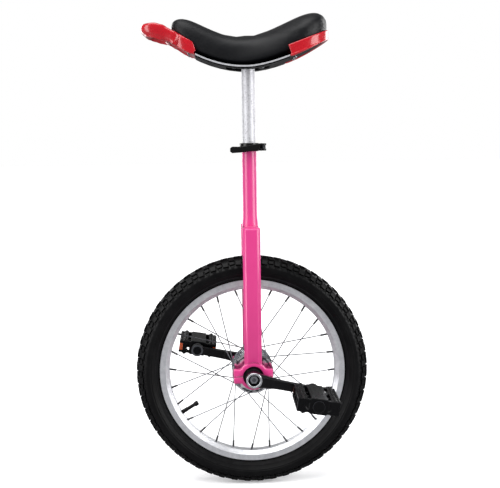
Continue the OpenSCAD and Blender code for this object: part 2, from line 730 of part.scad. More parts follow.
module clamp_lever() {
  drop = 3.5;
  tip_x = -lever_l;
  color("#141416") at_clamp() translate([ear_x, -cam_y, 0]) difference() {
    union() {
      translate([0, 0, -cam_h / 2]) cylinder(h = cam_h, r = cam_r);
      intersection() {
        // The arm as it is seen from the side, and from above
        slab(-12, 4) polygon([[0, -cam_h / 2], [0, cam_h / 2], [-16, cam_h / 2 - 2],
          [tip_x + 22, 4.5 - drop], [tip_x + 4, 5 - drop], [tip_x, 2 - drop],
          [tip_x, -4.5 - drop], [tip_x + 4, -7.5 - drop], [tip_x + 22, -6.5 - drop], [-16, -cam_h / 2]]);
        translate([0, 0, -cam_h]) linear_extrude(2 * cam_h) polygon([[0, -cam_r], [0, 1], [-6, 1],
          [-14, -1], [tip_x + 8, -1], [tip_x, -3], [tip_x, -7], [tip_x + 6, -8]]);
      }
    }
    translate([0, 0, -cam_h]) cylinder(h = 2 * cam_h, r = 2 + 0.08);
    // Slot that the skewer's eye and shank turn in
    translate([0, 0, -3]) cylinder(h = 6, r = cam_r + 1.2);
  }
}
module clamp_nut() {
  color("#17171a") at_clamp() translate([ear_x, 0, 0]) difference() {
    union() {
      bar(ear_y + gap, ear_y + 3, 7.4);
      hex(ear_y + 2.5, ear_y + 10.5, 12.5, 0.5);
    }
    bar(ear_y, ear_y + 12, skewer_r + 0.08);
  }
}

// Saddle: the pad's and the base's curves, and its plan
function smooth(t) = t <= 0 ? 0 : t >= 1 ? 1 : t * t * (3 - 2 * t);
function nose_x() = -pad_front + 20;
function tail_x() = pad_back - 25;
function dip(x, edge, r) = x <= edge ? 0 : r - sqrt(max(0, r * r - pow(x - edge, 2)));
function pad_top(x) = seat_z + pad_h
  + (x < 0 ? nose_rise * smooth(pow(min(1, x / nose_x()), 1.4))
           : tail_rise * smooth(pow(min(1, x / tail_x()), 1.2)))
  - dip(-x, -nose_x(), 20.3) - dip(x, tail_x(), 27);
function base_low(x) = seat_z - 7 + (x < 0 ? base_nose_rise * pow(-x / pad_front, 2.1)
                                           : base_tail_rise * pow(x / base_tail, 1.65));
function end_round(t, p) = t <= 0 ? 1 : pow(max(0, 1 - pow(t, p)), 1 / p);
function half_width(x) = (nose_w / 2 + (tail_w - nose_w) / 2 * smooth((x + 50) / 150))
  * end_round((-x - pad_front + 44) / 44, 2.4) * end_round((x - pad_back + 56) / 56, 2.3);
function stations(n, inset) = [for (i = [0:n]) -pad_front + inset
  + (pad_front + pad_back - 2 * inset) * (1 - cos(180 * i / n)) / 2];
module plan(inset) {
  xs = stations(28, 0.05);
  stretch = 1 - inset / 120;
  polygon(concat([for (x = xs) [x * stretch, -max(0.5, half_width(x) - inset)]],
                 [for (i = [len(xs) - 1:-1:0]) [xs[i] * stretch, max(0.5, half_width(xs[i]) - inset)]]));
}
module profile(low, high) {
  xs = stations(26, 0.3);
  polygon(concat([for (x = xs) [x, base_low(x) + low]],
                 [for (i = [len(xs) - 1:-1:0])
                   [xs[i], max(base_low(xs[i]) + low + 1, pad_top(xs[i]) - high)]]));
}
module band(low, high, x0, x1) {
  n = 16;
  xs = [for (i = [0:n]) x0 + (x1 - x0) * i / n];
  polygon(concat([for (x = xs) [x, base_low(x) + low]],
                 [for (i = [n:-1:0]) [xs[i], base_low(xs[i]) + high]]));
}
module upright() translate([0, 0, seat_z - 60]) linear_extrude(260) children();
module bumper_space(grow) {
  difference() {
    union() {
      slab(-tail_w, tail_w) band(-10, bumper_h + grow, -pad_front - 20, bumper_front_x + grow);
      slab(-tail_w, tail_w) band(-10, bumper_h + grow, bumper_back_x - grow, pad_back + 20);
    }
    upright() plan(bumper_t + grow);
  }
}
module bumper(x0, x1) {
  difference() {
    union() {
      intersection() {
        slab(-tail_w, tail_w) band(0, bumper_h, x0, x1);
        upright() difference() {
          plan(0.5);
          plan(bumper_t);
        }
      }
      intersection() {
        slab(-tail_w, tail_w) band(0, lip_t, x0, x1);
        upright() plan(1);
      }
    }
    bumper_holes(bumper_screw_r + 0.2);
  }
}
module bolt_spots() for (x = [-26, 26], y = [-11, 11]) translate([x, y, 0]) children();
module saddle_base() {
  color("#1a1a1c") difference() {
    union() {
      intersection() {
        slab(-tail_w, tail_w) band(0, base_t, -pad_front + 2, pad_back - 2);
        upright() plan(bumper_t + 0.6);
      }
      // Boss that takes the post's bracket
      intersection() {
        slab(-24, 24) band(0, 40, -60, 60);
        translate([-46, -24, seat_z - 10]) cube([92, 48, 20]);
      }
    }
    slab(-tail_w, tail_w) band(-10, lip_t + e, -pad_front - 20, bumper_front_x + gap);
    slab(-tail_w, tail_w) band(-10, lip_t + e, bumper_back_x - gap, pad_back + 20);
    translate([-42, -20, seat_z - 20]) cube([84, 40, 20 + 6]);
    upright() bolt_spots() circle(r = 3 + e);
    bumper_holes(bumper_screw_r + e);
  }
}
// The bumper screws stand square to the base's underside
module at_bumper_screws() for (x = [bumper_front_x - 12, bumper_back_x + 14], y = [-20, 20])
  translate([x, y, base_low(x)]) rotate([0, -atan(base_low(x + 0.5) - base_low(x - 0.5)), 0]) children();
module bumper_holes(r) at_bumper_screws() translate([0, 0, -6]) cylinder(h = 14, r = r);
module saddle_foam() {
  color("#d8cfae") difference() {
    intersection() {
      slab(-tail_w, tail_w) profile(base_t + gap, 2);
      upright() plan(2);
    }
    bumper_space(2);
    translate([-48, -26, seat_z - 20]) cube([96, 52, 20 + 6 + 5]);
  }
}
module saddle_cover() {
  color("#19191b") difference() {
    intersection() {
      slab(-tail_w, tail_w) profile(base_t + gap, 0);
      upright() plan(0);
    }
    intersection() {
      slab(-tail_w, tail_w) profile(base_t - 8, 1.7);
      upright() plan(1.7);
    }
    bumper_space(gap);
  }
}
module saddle_piping() {
  color("#8f9095") intersection() {
    slab(-tail_w, tail_w) band(base_t - 3, base_t, bumper_front_x + 1, bumper_back_x - 1);
    upright() difference() {
      plan(-0.4);
      plan(2.4);
    }
  }
}
module front_handle() {
  root = -pad_front;
  tip = root - handle_l;
  z = base_low(root);
  w = nose_w / 2;
  slot_x = root - 9 - slot_w;
  color("#d3202c") difference() {
    union() {
      bumper(-pad_front - 5, bumper_front_x);
      intersection() {
        slab(-w, w) polygon([[root + 16, z - 8], [root + 16, z + 12], [root, z + 20], [root - 12, z + 29],
          [root - 33, z + 33.5], [tip + 5, z + 29], [tip, z + 21], [tip + 3, z + 12], [tip + 12, z + 8],
          [root - 20, z + 6]]);
        upright() difference() {
          polygon([[root + 16, -w + 6], [root, -w + 4], [tip + 14, -w + 5], [tip + 4, -w + 12],
            [tip, -w + 22], [tip, w - 22], [tip + 4, w - 12], [tip + 14, w - 5], [root, w - 4],
            [root + 16, w - 6]]);
          plan(bumper_t - 0.5);
        }
      }
    }
    // Finger slot
    translate([slot_x, -w + 14, z - 20]) cube([slot_w, nose_w - 28, 80]);
    // Room for the pad's rounded nose above the bumper
    intersection() {
      slab(-tail_w, tail_w) profile(bumper_h - 0.3, -2);
      upright() plan(-gap);
    }
  }
}
module rear_bumper() color("#d3202c") bumper(bumper_back_x, pad_back + 5);
module bumper_screws() {
  color("#a4a6aa") at_bumper_screws() {
    translate([0, 0, -2.1]) cylinder(h = 2, r = 3);
    translate([0, 0, -2.1]) cylinder(h = lip_t + 4.2, r = bumper_screw_r);
  }
}
module post_bracket() {
  color("#8c8e93") difference() {
    translate([-40, -18, seat_z + 2]) cube([80, 36, 4 - e]);
    translate([0, 0, seat_z]) cylinder(h = 10, r = post_r + e);
    upright() bolt_spots() circle(r = 3 + e);
  }
}
module seat_post() {
  color("#b2b4b9") difference() {
    translate([0, 0, post_top - post_l]) cylinder(h = post_l - e, r = post_r);
    translate([0, 0, post_top - post_l - 1]) cylinder(h = post_l + 2, r = post_r - post_wall);
  }
}
module saddle_bolts() {
  color("#8a8c91") bolt_spots() {
    translate([0, 0, seat_z - 3]) cylinder(h = 5 - e, r = 5.2, $fn = 6);
    translate([0, 0, seat_z - 3]) cylinder(h = 13, r = 3);
  }
}

tyre();
inner_tube();
rim_tape();
rim();
left_spokes();
right_spokes();
spoke_nipples();
valve_stem();
valve_cap();
hub_shell();
axle();
bearing_inner_races();
axle_spacers();
bearing_outer_races();
bearing_seals();
left_bearing_balls();
left_ball_cage();
right_bearing_balls();
right_ball_cage();
seat_tube();
fork_crown();
left_fork_leg();
right_fork_leg();
left_bearing_housing();
right_bearing_housing();
left_bearing_cap();
right_bearing_cap();
bearing_cap_screws();
left_crank();
right_crank();
crank_nuts();
crank_washers();
left_pedal_spindle();
right_pedal_spindle();
pedal_locknuts();
left_pedal_body();
left_pedal_bushes();
left_pedal_reflectors();
left_pedal_cap();
right_pedal_body();
right_pedal_bushes();
right_pedal_reflectors();
right_pedal_cap();
seat_clamp();
clamp_skewer();
cam_pin();
cam_washer();
clamp_lever();
clamp_nut();
seat_post();
post_bracket();
saddle_bolts();
saddle_base();
saddle_foam();
saddle_cover();
saddle_piping();
front_handle();
rear_bumper();
bumper_screws();
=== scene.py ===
import math
import bpy
import bmesh
from mathutils import Matrix, Vector


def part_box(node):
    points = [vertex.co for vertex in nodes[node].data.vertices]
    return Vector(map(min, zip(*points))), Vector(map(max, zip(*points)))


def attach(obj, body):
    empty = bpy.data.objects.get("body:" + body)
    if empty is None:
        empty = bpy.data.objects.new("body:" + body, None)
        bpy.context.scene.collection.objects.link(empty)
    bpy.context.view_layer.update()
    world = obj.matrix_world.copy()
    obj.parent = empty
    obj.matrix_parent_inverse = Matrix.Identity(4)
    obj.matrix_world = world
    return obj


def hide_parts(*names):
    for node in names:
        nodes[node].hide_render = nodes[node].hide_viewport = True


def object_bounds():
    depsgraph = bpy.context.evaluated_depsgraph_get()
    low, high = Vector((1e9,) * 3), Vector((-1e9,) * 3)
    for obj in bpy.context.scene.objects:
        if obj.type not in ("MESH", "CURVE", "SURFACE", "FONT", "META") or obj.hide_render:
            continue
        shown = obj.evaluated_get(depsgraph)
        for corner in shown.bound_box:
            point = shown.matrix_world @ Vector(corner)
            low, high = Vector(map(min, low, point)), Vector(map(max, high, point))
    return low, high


# Looks of the unicycle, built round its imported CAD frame. Lengths are in metres unless a comment says mm.
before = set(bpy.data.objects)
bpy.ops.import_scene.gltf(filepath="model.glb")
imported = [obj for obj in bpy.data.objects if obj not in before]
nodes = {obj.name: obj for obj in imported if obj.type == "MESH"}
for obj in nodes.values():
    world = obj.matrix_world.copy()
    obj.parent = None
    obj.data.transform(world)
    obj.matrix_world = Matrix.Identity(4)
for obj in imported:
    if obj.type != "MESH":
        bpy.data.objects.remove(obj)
cadLow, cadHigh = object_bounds()
scene = bpy.context.scene
mm = 0.001
print("frame loaded:", len(nodes), "CAD nodes")


def boxOf(name):
    low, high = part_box(name)
    return low, high, (low + high) / 2


tyreLow, tyreHigh, tyreMiddle = boxOf("tyre")
axleHeight = tyreMiddle.z
crankFace = -boxOf("left_crank")[0].y


# camera and light

camera = {
    "place": (-0.0624, -1.6415, 0.6764),
    "turn": 2.14,  # degrees towards +X
    "drop": 6.68,
    "roll": 0.84,  # the object's top leans to the left
    "lens": 60.4,
}


def makeCamera():
    turn, drop = math.radians(camera["turn"]), math.radians(camera["drop"])
    look = Vector((math.sin(turn) * math.cos(drop), math.cos(turn) * math.cos(drop), -math.sin(drop)))
    data = bpy.data.cameras.new("camera")
    data.lens = camera["lens"]
    data.clip_end = 50
    eye = bpy.data.objects.new("camera", data)
    scene.collection.objects.link(eye)
    eye.rotation_mode = "QUATERNION"
    eye.location = camera["place"]
    level = look.to_track_quat("-Z", "Y")
    eye.rotation_quaternion = level @ Matrix.Rotation(math.radians(-camera["roll"]), 3, "Z").to_quaternion()
    scene.camera = eye


makeCamera()

studio = {
    "leftBox": {"place": (-1.9, -1.0, 0.8), "size": (1.1, 2.4), "power": 40},
    "rightBox": {"place": (1.9, -1.0, 0.8), "size": (1.3, 2.4), "power": 52},
    "backLeftBox": {"place": (-1.5, 2.4, 1.0), "size": (1.0, 2.0), "power": 26},
    "backRightBox": {"place": (1.8, 2.2, 1.0), "size": (1.2, 2.0), "power": 30},
}
overhead = {"strength": 2.9, "spread": 60, "tilt": (-14, -10)}  # one wide sky panel, in degrees
lampTarget = (0, 0, 0.45)


def makeLight(name, values):
    data = bpy.data.lights.new(name, "AREA")
    data.shape = "RECTANGLE"
    data.size, data.size_y = values["size"]
    data.energy = values["power"]
    lamp = bpy.data.objects.new(name, data)
    scene.collection.objects.link(lamp)
    lamp.location = values["place"]
    aim = Vector(lampTarget) - lamp.location
    lamp.rotation_euler = aim.to_track_quat("-Z", "Y").to_euler()


for lightName, lightValues in studio.items():
    makeLight(lightName, lightValues)
panel = bpy.data.lights.new("overhead", "SUN")
panel.energy = overhead["strength"]
panel.angle = math.radians(overhead["spread"])
panelLamp = bpy.data.objects.new("overhead", panel)
scene.collection.objects.link(panelLamp)
panelLamp.rotation_euler = [math.radians(a) for a in (-overhead["tilt"][0], overhead["tilt"][1], 0)]
scene.view_settings.view_transform = "Standard"
print("camera and lights placed")


# how materials are put together


def colour(code):
    # sRGB hex to the linear colour that shaders work in
    parts = [int(code[i:i + 2], 16) / 255 for i in (1, 3, 5)]
    return [c / 12.92 if c <= 0.04045 else ((c + 0.055) / 1.055) ** 2.4 for c in parts] + [1]


def add(tree, kind, settings=None, links=None, stops=None):
    # one node: settings are its properties or socket values, with text as a hex colour, and links are
    # socket: (node, output)
    node = tree.nodes.new("ShaderNode" + kind)
    for key, value in (settings or {}).items():
        if isinstance(key, str) and hasattr(node, key):
            setattr(node, key, value)
        else:
            node.inputs[key].default_value = colour(value) if isinstance(value, str) else value
    for key, (source, output) in (links or {}).items():
        tree.links.new(source.outputs[output], node.inputs[key])
    for i, (place, shade) in enumerate(stops or []):
        spots = node.color_ramp.elements
        spot = spots[i] if i < len(spots) else spots.new(place)
        spot.position = place
        spot.color = colour(shade) if isinstance(shade, str) else (shade, shade, shade, 1)
    return node


def startMaterial(name):
    # an empty material and the piece's own coordinates, in metres
    material = bpy.data.materials.new(name)
    material.use_nodes = True
    tree = material.node_tree
    tree.nodes.clear()
    return material, tree, add(tree, "TexCoord")


def aroundAxle(tree, place):
    # a point's own distances from the middle of the axle, and how far it is from the axle's line
    fromAxle = add(tree, "VectorMath", {"operation": "SUBTRACT", 1: (0, 0, axleHeight)},
                   {0: (place, "Object")})
    parts = add(tree, "SeparateXYZ", links={0: (fromAxle, 0)})
    flat = add(tree, "CombineXYZ", links={"X": (parts, "X"), "Y": (parts, "Z")})
    radius = add(tree, "VectorMath", {"operation": "LENGTH"}, {0: (flat, 0)})
    return parts, radius


def edgeHighlightShare(tree, radius, stops):
    # how much of a point is edge: where a rounded normal leaves the true one; the mask along which edges get a
    # painted highlight
    soft = add(tree, "Bevel", {"samples": 4, "Radius": radius})
    sharp = add(tree, "NewGeometry")
    facing = add(tree, "VectorMath", {"operation": "DOT_PRODUCT"}, {0: (soft, 0), 1: (sharp, "Normal")})
    return add(tree, "ValToRGB", links={0: (facing, "Value")}, stops=stops)


# Gloss enamel on steel: a wet-looking coat over saturated pink, with a slight orange peel, and a lighter pink
# painted along its edges as a painted highlight
enamel = {
    "pink": "#E2418D", "deepPink": "#D5357F", "highlightPink": "#FF9CCB", "highlightRadius": 2.2 * mm,
    "cloudSize": 60 * mm, "peelSize": 2.6 * mm, "peelDepth": 0.012 * mm,
    "roughness": 0.34, "coat": 0.45, "coatRoughness": 0.16,
}


def pinkEnamel():
    material, tree, place = startMaterial("gloss_pink_enamel")
    cloud = add(tree, "TexNoise", {"Scale": 1 / enamel["cloudSize"], "Detail": 3}, {0: (place, "Object")})
    body = add(tree, "Mix", {"data_type": "RGBA", 6: enamel["deepPink"], 7: enamel["pink"]}, {0: (cloud, 0)})
    # edges painted a lighter pink: a painted highlight along the bevels
    edge = edgeHighlightShare(tree, enamel["highlightRadius"], [(0.8, 0.75), (0.985, 0.0)])
    paint = add(tree, "Mix", {"data_type": "RGBA", 7: enamel["highlightPink"]}, {0: (edge, 0), 6: (body, 2)})
    peel = add(tree, "TexNoise", {"Scale": 1 / enamel["peelSize"], "Detail": 2}, {0: (place, "Object")})
    skin = add(tree, "Bump", {"Distance": enamel["peelDepth"], "Strength": 1}, {"Height": (peel, 0)})
    shader = add(tree, "BsdfPrincipled", {"Roughness": enamel["roughness"], "IOR": 1.5,
                                          "Coat Weight": enamel["coat"],
                                          "Coat Roughness": enamel["coatRoughness"]},
                 {"Base Color": (paint, 2), "Normal": (skin, 0)})
    add(tree, "OutputMaterial", links={"Surface": (shader, 0)})
    return material


# Plain turned, drawn or plated metals differ in tint, polish and the size of their grain
def plainMetal(name, tint, dullTint, roughness, grain, depth=0.01 * mm):
    material, tree, place = startMaterial(name)
    blotch = add(tree, "TexNoise", {"Scale": 1 / (grain * 6), "Detail": 4, "Roughness": 0.6},
                 {0: (place, "Object")})
    tone = add(tree, "Mix", {"data_type": "RGBA", 6: dullTint, 7: tint}, {0: (blotch, 0)})
    fine = add(tree, "TexNoise", {"Scale": 1 / grain, "Detail": 3, "Roughness": 0.6}, {0: (place, "Object")})
    polish = add(tree, "ValToRGB", links={0: (fine, 0)},
                 stops=[(0.3, roughness * 0.8), (0.75, min(1, roughness * 1.3))])
    skin = add(tree, "Bump", {"Distance": depth, "Strength": 1}, {"Height": (fine, 0)})
    shader = add(tree, "BsdfPrincipled", {"Metallic": 1},
                 {"Base Color": (tone, 2), "Roughness": (polish, 0), "Normal": (skin, 0)})
    add(tree, "OutputMaterial", links={"Surface": (shader, 0)})
    return material


# Anodised aluminium rim: satin silver, with lines left round it by rolling and drawing
rimFinish = {"silver": "#F2F3F6", "shade": "#CCCED3", "linePitch": 0.9 * mm, "cloudSize": 9 * mm,
             "depth": 0.02 * mm, "metallic": 0.8, "roughness": 0.4}


def rimAluminium():
    material, tree, place = startMaterial("anodised_aluminium_rim")
    parts, radius = aroundAxle(tree, place)
    around = add(tree, "CombineXYZ", links={"X": (radius, "Value"), "Y": (parts, "Y")})
    lines = add(tree, "TexNoise", {"Scale": 1 / rimFinish["linePitch"], "Detail": 4, "Roughness": 0.7},
                {0: (around, 0)})
    cloud = add(tree, "TexNoise", {"Scale": 1 / rimFinish["cloudSize"], "Detail": 4, "Roughness": 0.6},
                {0: (place, "Object")})
    both = add(tree, "Math", {"operation": "MULTIPLY"}, {0: (lines, 0), 1: (cloud, 0)})
    spread = add(tree, "ValToRGB", links={0: (both, 0)}, stops=[(0.1, 0.0), (0.42, 1.0)])
    tone = add(tree, "Mix", {"data_type": "RGBA", 6: rimFinish["shade"], 7: rimFinish["silver"]},
               {0: (spread, 0)})
    drawn = add(tree, "Bump", {"Distance": rimFinish["depth"], "Strength": 1}, {"Height": (lines, 0)})
    skin = add(tree, "Bump", {"Distance": rimFinish["depth"], "Strength": 1},
               {"Height": (cloud, 0), "Normal": (drawn, 0)})
    shader = add(tree, "BsdfPrincipled",
                 {"Metallic": rimFinish["metallic"], "Roughness": rimFinish["roughness"]},
                 {"Base Color": (tone, 2), "Normal": (skin, 0)})
    add(tree, "OutputMaterial", links={"Surface": (shader, 0)})
    return material


# Chromed steel hub: a mirror over turned rings, drawn coarse, with bright and dark bands painted into its
# colour as painted reflections
hubFinish = {"bright": "#F6F7F9", "dark": "#44464B", "ringPitch": 3.2 * mm, "ringDepth": 0.25 * mm,
             "bandSize": 9 * mm, "bandDepth": 0.3 * mm, "roughness": 0.13}


def chromedHub():
    material, tree, place = startMaterial("chromed_steel_hub")
    parts, radius = aroundAxle(tree, place)
    around = add(tree, "CombineXYZ", links={"X": (radius, "Value"), "Y": (parts, "Y")})
    rings = add(tree, "TexNoise", {"Scale": 1 / hubFinish["ringPitch"], "Detail": 3, "Roughness": 0.6},
                {0: (around, 0)})
    band = add(tree, "TexNoise", {"Scale": 1 / hubFinish["bandSize"], "Detail": 3, "Roughness": 0.55},
               {0: (place, "Object")})
    both = add(tree, "Math", {"operation": "ADD"}, {0: (rings, 0), 1: (band, 0)})
    half = add(tree, "Math", {"operation": "MULTIPLY", 1: 0.5}, {0: (both, 0)})
    spread = add(tree, "ValToRGB", links={0: (half, 0)}, stops=[(0.39, 0.0), (0.5, 1.0)])
    # bright and dark bands painted into the colour: painted reflections
    tone = add(tree, "Mix", {"data_type": "RGBA", 6: hubFinish["dark"], 7: hubFinish["bright"]},
               {0: (spread, 0)})
    turned = add(tree, "Bump", {"Distance": hubFinish["ringDepth"], "Strength": 1}, {"Height": (rings, 0)})
    skin = add(tree, "Bump", {"Distance": hubFinish["bandDepth"], "Strength": 1},
               {"Height": (band, 0), "Normal": (turned, 0)})
    shader = add(tree, "BsdfPrincipled", {"Metallic": 1, "Roughness": hubFinish["roughness"]},
                 {"Base Color": (tone, 2), "Normal": (skin, 0)})
    add(tree, "OutputMaterial", links={"Surface": (shader, 0)})
    return material


# Black stove enamel on forged steel, with the extractor thread and its face left bare
crankFinish = {"black": "#08080A", "worn": "#141417", "bare": "#D5D7DB", "bareRadius": 15.4 * mm,
               "bareDepth": 3.6 * mm, "wearSize": 14 * mm, "grain": 1.6 * mm, "grainDepth": 0.015 * mm,
               "roughness": 0.3, "coat": 0.15, "coatRoughness": 0.08, "shine": 0.14}


def crankEnamel():
    material, tree, place = startMaterial("black_stove_enamel")
    parts, radius = aroundAxle(tree, place)
    inside = add(tree, "Math", {"operation": "LESS_THAN", 1: crankFinish["bareRadius"]},
                 {0: (radius, "Value")})
    side = add(tree, "Math", {"operation": "ABSOLUTE"}, {0: (parts, "Y")})
    outer = add(tree, "Math", {"operation": "GREATER_THAN", 1: crankFace - crankFinish["bareDepth"]},
                {0: (side, 0)})
    bare = add(tree, "Math", {"operation": "MULTIPLY"}, {0: (inside, 0), 1: (outer, 0)})
    cloud = add(tree, "TexNoise", {"Scale": 1 / crankFinish["wearSize"], "Detail": 5, "Roughness": 0.6},
                {0: (place, "Object")})
    wear = add(tree, "ValToRGB", links={0: (cloud, 0)}, stops=[(0.45, 0.0), (0.75, 0.7)])
    paint = add(tree, "Mix", {"data_type": "RGBA", 6: crankFinish["black"], 7: crankFinish["worn"]},
                {0: (wear, 0)})
    tone = add(tree, "Mix", {"data_type": "RGBA", 7: crankFinish["bare"]}, {0: (bare, 0), 6: (paint, 2)})
    fine = add(tree, "TexNoise", {"Scale": 1 / crankFinish["grain"], "Detail": 3, "Roughness": 0.6},
               {0: (place, "Object")})
    polish = add(tree, "ValToRGB", links={0: (fine, 0)},
                 stops=[(0.3, crankFinish["roughness"] * 0.8), (0.8, crankFinish["roughness"] * 1.3)])
    skin = add(tree, "Bump", {"Distance": crankFinish["grainDepth"], "Strength": 1}, {"Height": (fine, 0)})
    shader = add(tree, "BsdfPrincipled", {"IOR": 1.5, "Coat Weight": crankFinish["coat"],
                                          "Coat Roughness": crankFinish["coatRoughness"],
                                          "Specular IOR Level": crankFinish["shine"]},
                 {"Base Color": (tone, 2), "Metallic": (bare, 0), "Roughness": (polish, 0),
                  "Normal": (skin, 0)})
    add(tree, "OutputMaterial", links={"Surface": (shader, 0)})
    return material


# Zinc-coated steel tube: pale grey with crystal spangle and drips that ran down it
postFinish = {"light": "#D6D6DA", "dark": "#77777D", "spangle": 2.4 * mm, "spangleDepth": 0.06 * mm,
              "streak": 3.0 * mm, "streakLength": 14, "speck": 1.5 * mm, "speckDepth": 0.12 * mm,
              "metallic": 0.75}


def zincTube():
    material, tree, place = startMaterial("zinc_coated_steel")
    crystal = add(tree, "TexVoronoi", {"Scale": 1 / postFinish["spangle"], "Randomness": 1},
                  {0: (place, "Object")})
    speck = add(tree, "TexNoise", {"Scale": 1 / postFinish["speck"], "Detail": 4, "Roughness": 0.7},
                {0: (place, "Object")})
    fine = 1 / postFinish["streak"]
    drawn = add(tree, "Mapping", {"Scale": (fine, fine, fine / postFinish["streakLength"])},
                {0: (place, "Object")})
    drips = add(tree, "TexNoise", {"Scale": 1, "Detail": 4, "Roughness": 0.6}, {0: (drawn, 0)})
    grey = add(tree, "RGBToBW", links={0: (crystal, "Color")})
    spangled = add(tree, "Math", {"operation": "MULTIPLY_ADD", 1: 0.35}, {0: (grey, 0), 2: (speck, 0)})
    streaked = add(tree, "Math", {"operation": "MULTIPLY_ADD", 1: 0.7}, {0: (drips, 0), 2: (spangled, 0)})
    spread = add(tree, "ValToRGB", links={0: (streaked, 0)}, stops=[(0.62, 0.0), (1, 1.0)])
    tone = add(tree, "Mix", {"data_type": "RGBA", 6: postFinish["dark"], 7: postFinish["light"]},
               {0: (spread, 0)})
    polish = add(tree, "ValToRGB", links={0: (speck, 0)}, stops=[(0.3, 0.5), (0.7, 0.7)])
    pitted = add(tree, "Bump", {"Distance": postFinish["speckDepth"], "Strength": 1}, {"Height": (speck, 0)})
    skin = add(tree, "Bump", {"Distance": postFinish["spangleDepth"], "Strength": 1},
               {"Height": (crystal, "Distance"), "Normal": (pitted, 0)})
    shader = add(tree, "BsdfPrincipled", {"Metallic": postFinish["metallic"]},
                 {"Base Color": (tone, 2), "Roughness": (polish, 0), "Normal": (skin, 0)})
    add(tree, "OutputMaterial", links={"Surface": (shader, 0)})
    return material


# Moulded rubber: near black and dull, dusty where it is handled, with a fine mould texture
def mouldedRubber(name, dark, dusty, roughness, dustSize, grain, depth, shine=0.5):
    material, tree, place = startMaterial(name)
    cloud = add(tree, "TexNoise", {"Scale": 1 / dustSize, "Detail": 5, "Roughness": 0.65},
                {0: (place, "Object")})
    dust = add(tree, "ValToRGB", links={0: (cloud, 0)}, stops=[(0.42, 0.0), (0.72, 1.0)])
    tone = add(tree, "Mix", {"data_type": "RGBA", 6: dark, 7: dusty}, {0: (dust, 0)})
    fine = add(tree, "TexNoise", {"Scale": 1 / grain, "Detail": 3, "Roughness": 0.6}, {0: (place, "Object")})
    polish = add(tree, "ValToRGB", links={0: (cloud, 0)},
                 stops=[(0.35, roughness * 0.85), (0.75, min(1, roughness * 1.15))])
    skin = add(tree, "Bump", {"Distance": depth, "Strength": 1}, {"Height": (fine, 0)})
    shader = add(tree, "BsdfPrincipled", {"IOR": 1.52, "Specular IOR Level": shine},
                 {"Base Color": (tone, 2), "Roughness": (polish, 0), "Normal": (skin, 0)})
    add(tree, "OutputMaterial", links={"Surface": (shader, 0)})
    return material


# Injection-moulded plastic: one dye right through, spark-eroded grain, polish that varies at random, and where
# a colour is given, that lighter colour painted along its edges as a painted highlight
plastic = {"cloudSize": 22 * mm, "paintedHighlightRadius": 1.4 * mm}


def mouldedPlastic(name, tint, shade, roughness, grain, depth, coat=0.0, shine=0.5, paintedEdgeHighlight=None):
    material, tree, place = startMaterial(name)
    cloud = add(tree, "TexNoise", {"Scale": 1 / plastic["cloudSize"], "Detail": 4, "Roughness": 0.6},
                {0: (place, "Object")})
    tone = add(tree, "Mix", {"data_type": "RGBA", 6: shade, 7: tint}, {0: (cloud, 0)})
    # a lighter colour painted along the edges: a painted highlight
    if paintedEdgeHighlight:
        edge = edgeHighlightShare(tree, plastic["paintedHighlightRadius"], [(0.82, 0.8), (0.985, 0.0)])
        tone = add(tree, "Mix", {"data_type": "RGBA", 7: paintedEdgeHighlight}, {0: (edge, 0), 6: (tone, 2)})
    fine = add(tree, "TexNoise", {"Scale": 1 / grain, "Detail": 2}, {0: (place, "Object")})
    polish = add(tree, "ValToRGB", links={0: (cloud, 0)},
                 stops=[(0.35, roughness * 0.8), (0.7, min(1, roughness * 1.2))])
    skin = add(tree, "Bump", {"Distance": depth, "Strength": 1}, {"Height": (fine, 0)})
    shader = add(tree, "BsdfPrincipled", {"IOR": 1.5, "Coat Weight": coat, "Specular IOR Level": shine},
                 {"Base Color": (tone, 2), "Roughness": (polish, 0), "Normal": (skin, 0)})
    add(tree, "OutputMaterial", links={"Surface": (shader, 0)})
    return material


# PVC-coated cloth: soft black sheen over an embossed leather grain. Real grain is finer, 0.8 mm.
vinyl = {"black": "#07080B", "rubbed": "#0D0E12", "rubbedSize": 45 * mm, "rubbedDepth": 0.2 * mm,
         "grain": 1.3 * mm, "grainDepth": 0.07 * mm, "roughness": 0.43, "shine": 0.26}


def blackVinyl():
    material, tree, place = startMaterial("black_grained_vinyl")
    cells = add(tree, "TexVoronoi", {"feature": "DISTANCE_TO_EDGE", "Scale": 1 / vinyl["grain"]},
                {0: (place, "Object")})
    pores = add(tree, "ValToRGB", links={0: (cells, "Distance")}, stops=[(0.0, 0.0), (0.16, 1.0)])
    cloud = add(tree, "TexNoise", {"Scale": 1 / vinyl["rubbedSize"], "Detail": 4, "Roughness": 0.6},
                {0: (place, "Object")})
    tone = add(tree, "Mix", {"data_type": "RGBA", 6: vinyl["black"], 7: vinyl["rubbed"]}, {0: (cloud, 0)})
    polish = add(tree, "ValToRGB", links={0: (cloud, 0)},
                 stops=[(0.35, vinyl["roughness"] * 0.85), (0.7, vinyl["roughness"] * 1.15)])
    grained = add(tree, "Bump", {"Distance": vinyl["grainDepth"], "Strength": 1}, {"Height": (pores, 0)})
    skin = add(tree, "Bump", {"Distance": vinyl["rubbedDepth"], "Strength": 1},
               {"Height": (cloud, 0), "Normal": (grained, 0)})
    shader = add(tree, "BsdfPrincipled", {"IOR": 1.5, "Specular IOR Level": vinyl["shine"]},
                 {"Base Color": (tone, 2), "Roughness": (polish, 0), "Normal": (skin, 0)})
    add(tree, "OutputMaterial", links={"Surface": (shader, 0)})
    return material


# Amber acrylic lens: clear dyed plastic whose back is cut into small prisms, each painted lighter towards its
# middle as a painted glint
lensFinish = {"amber": "#B03A12", "lit": "#F28A3A", "prism": 3 * mm, "depth": 0.3 * mm, "roughness": 0.18}


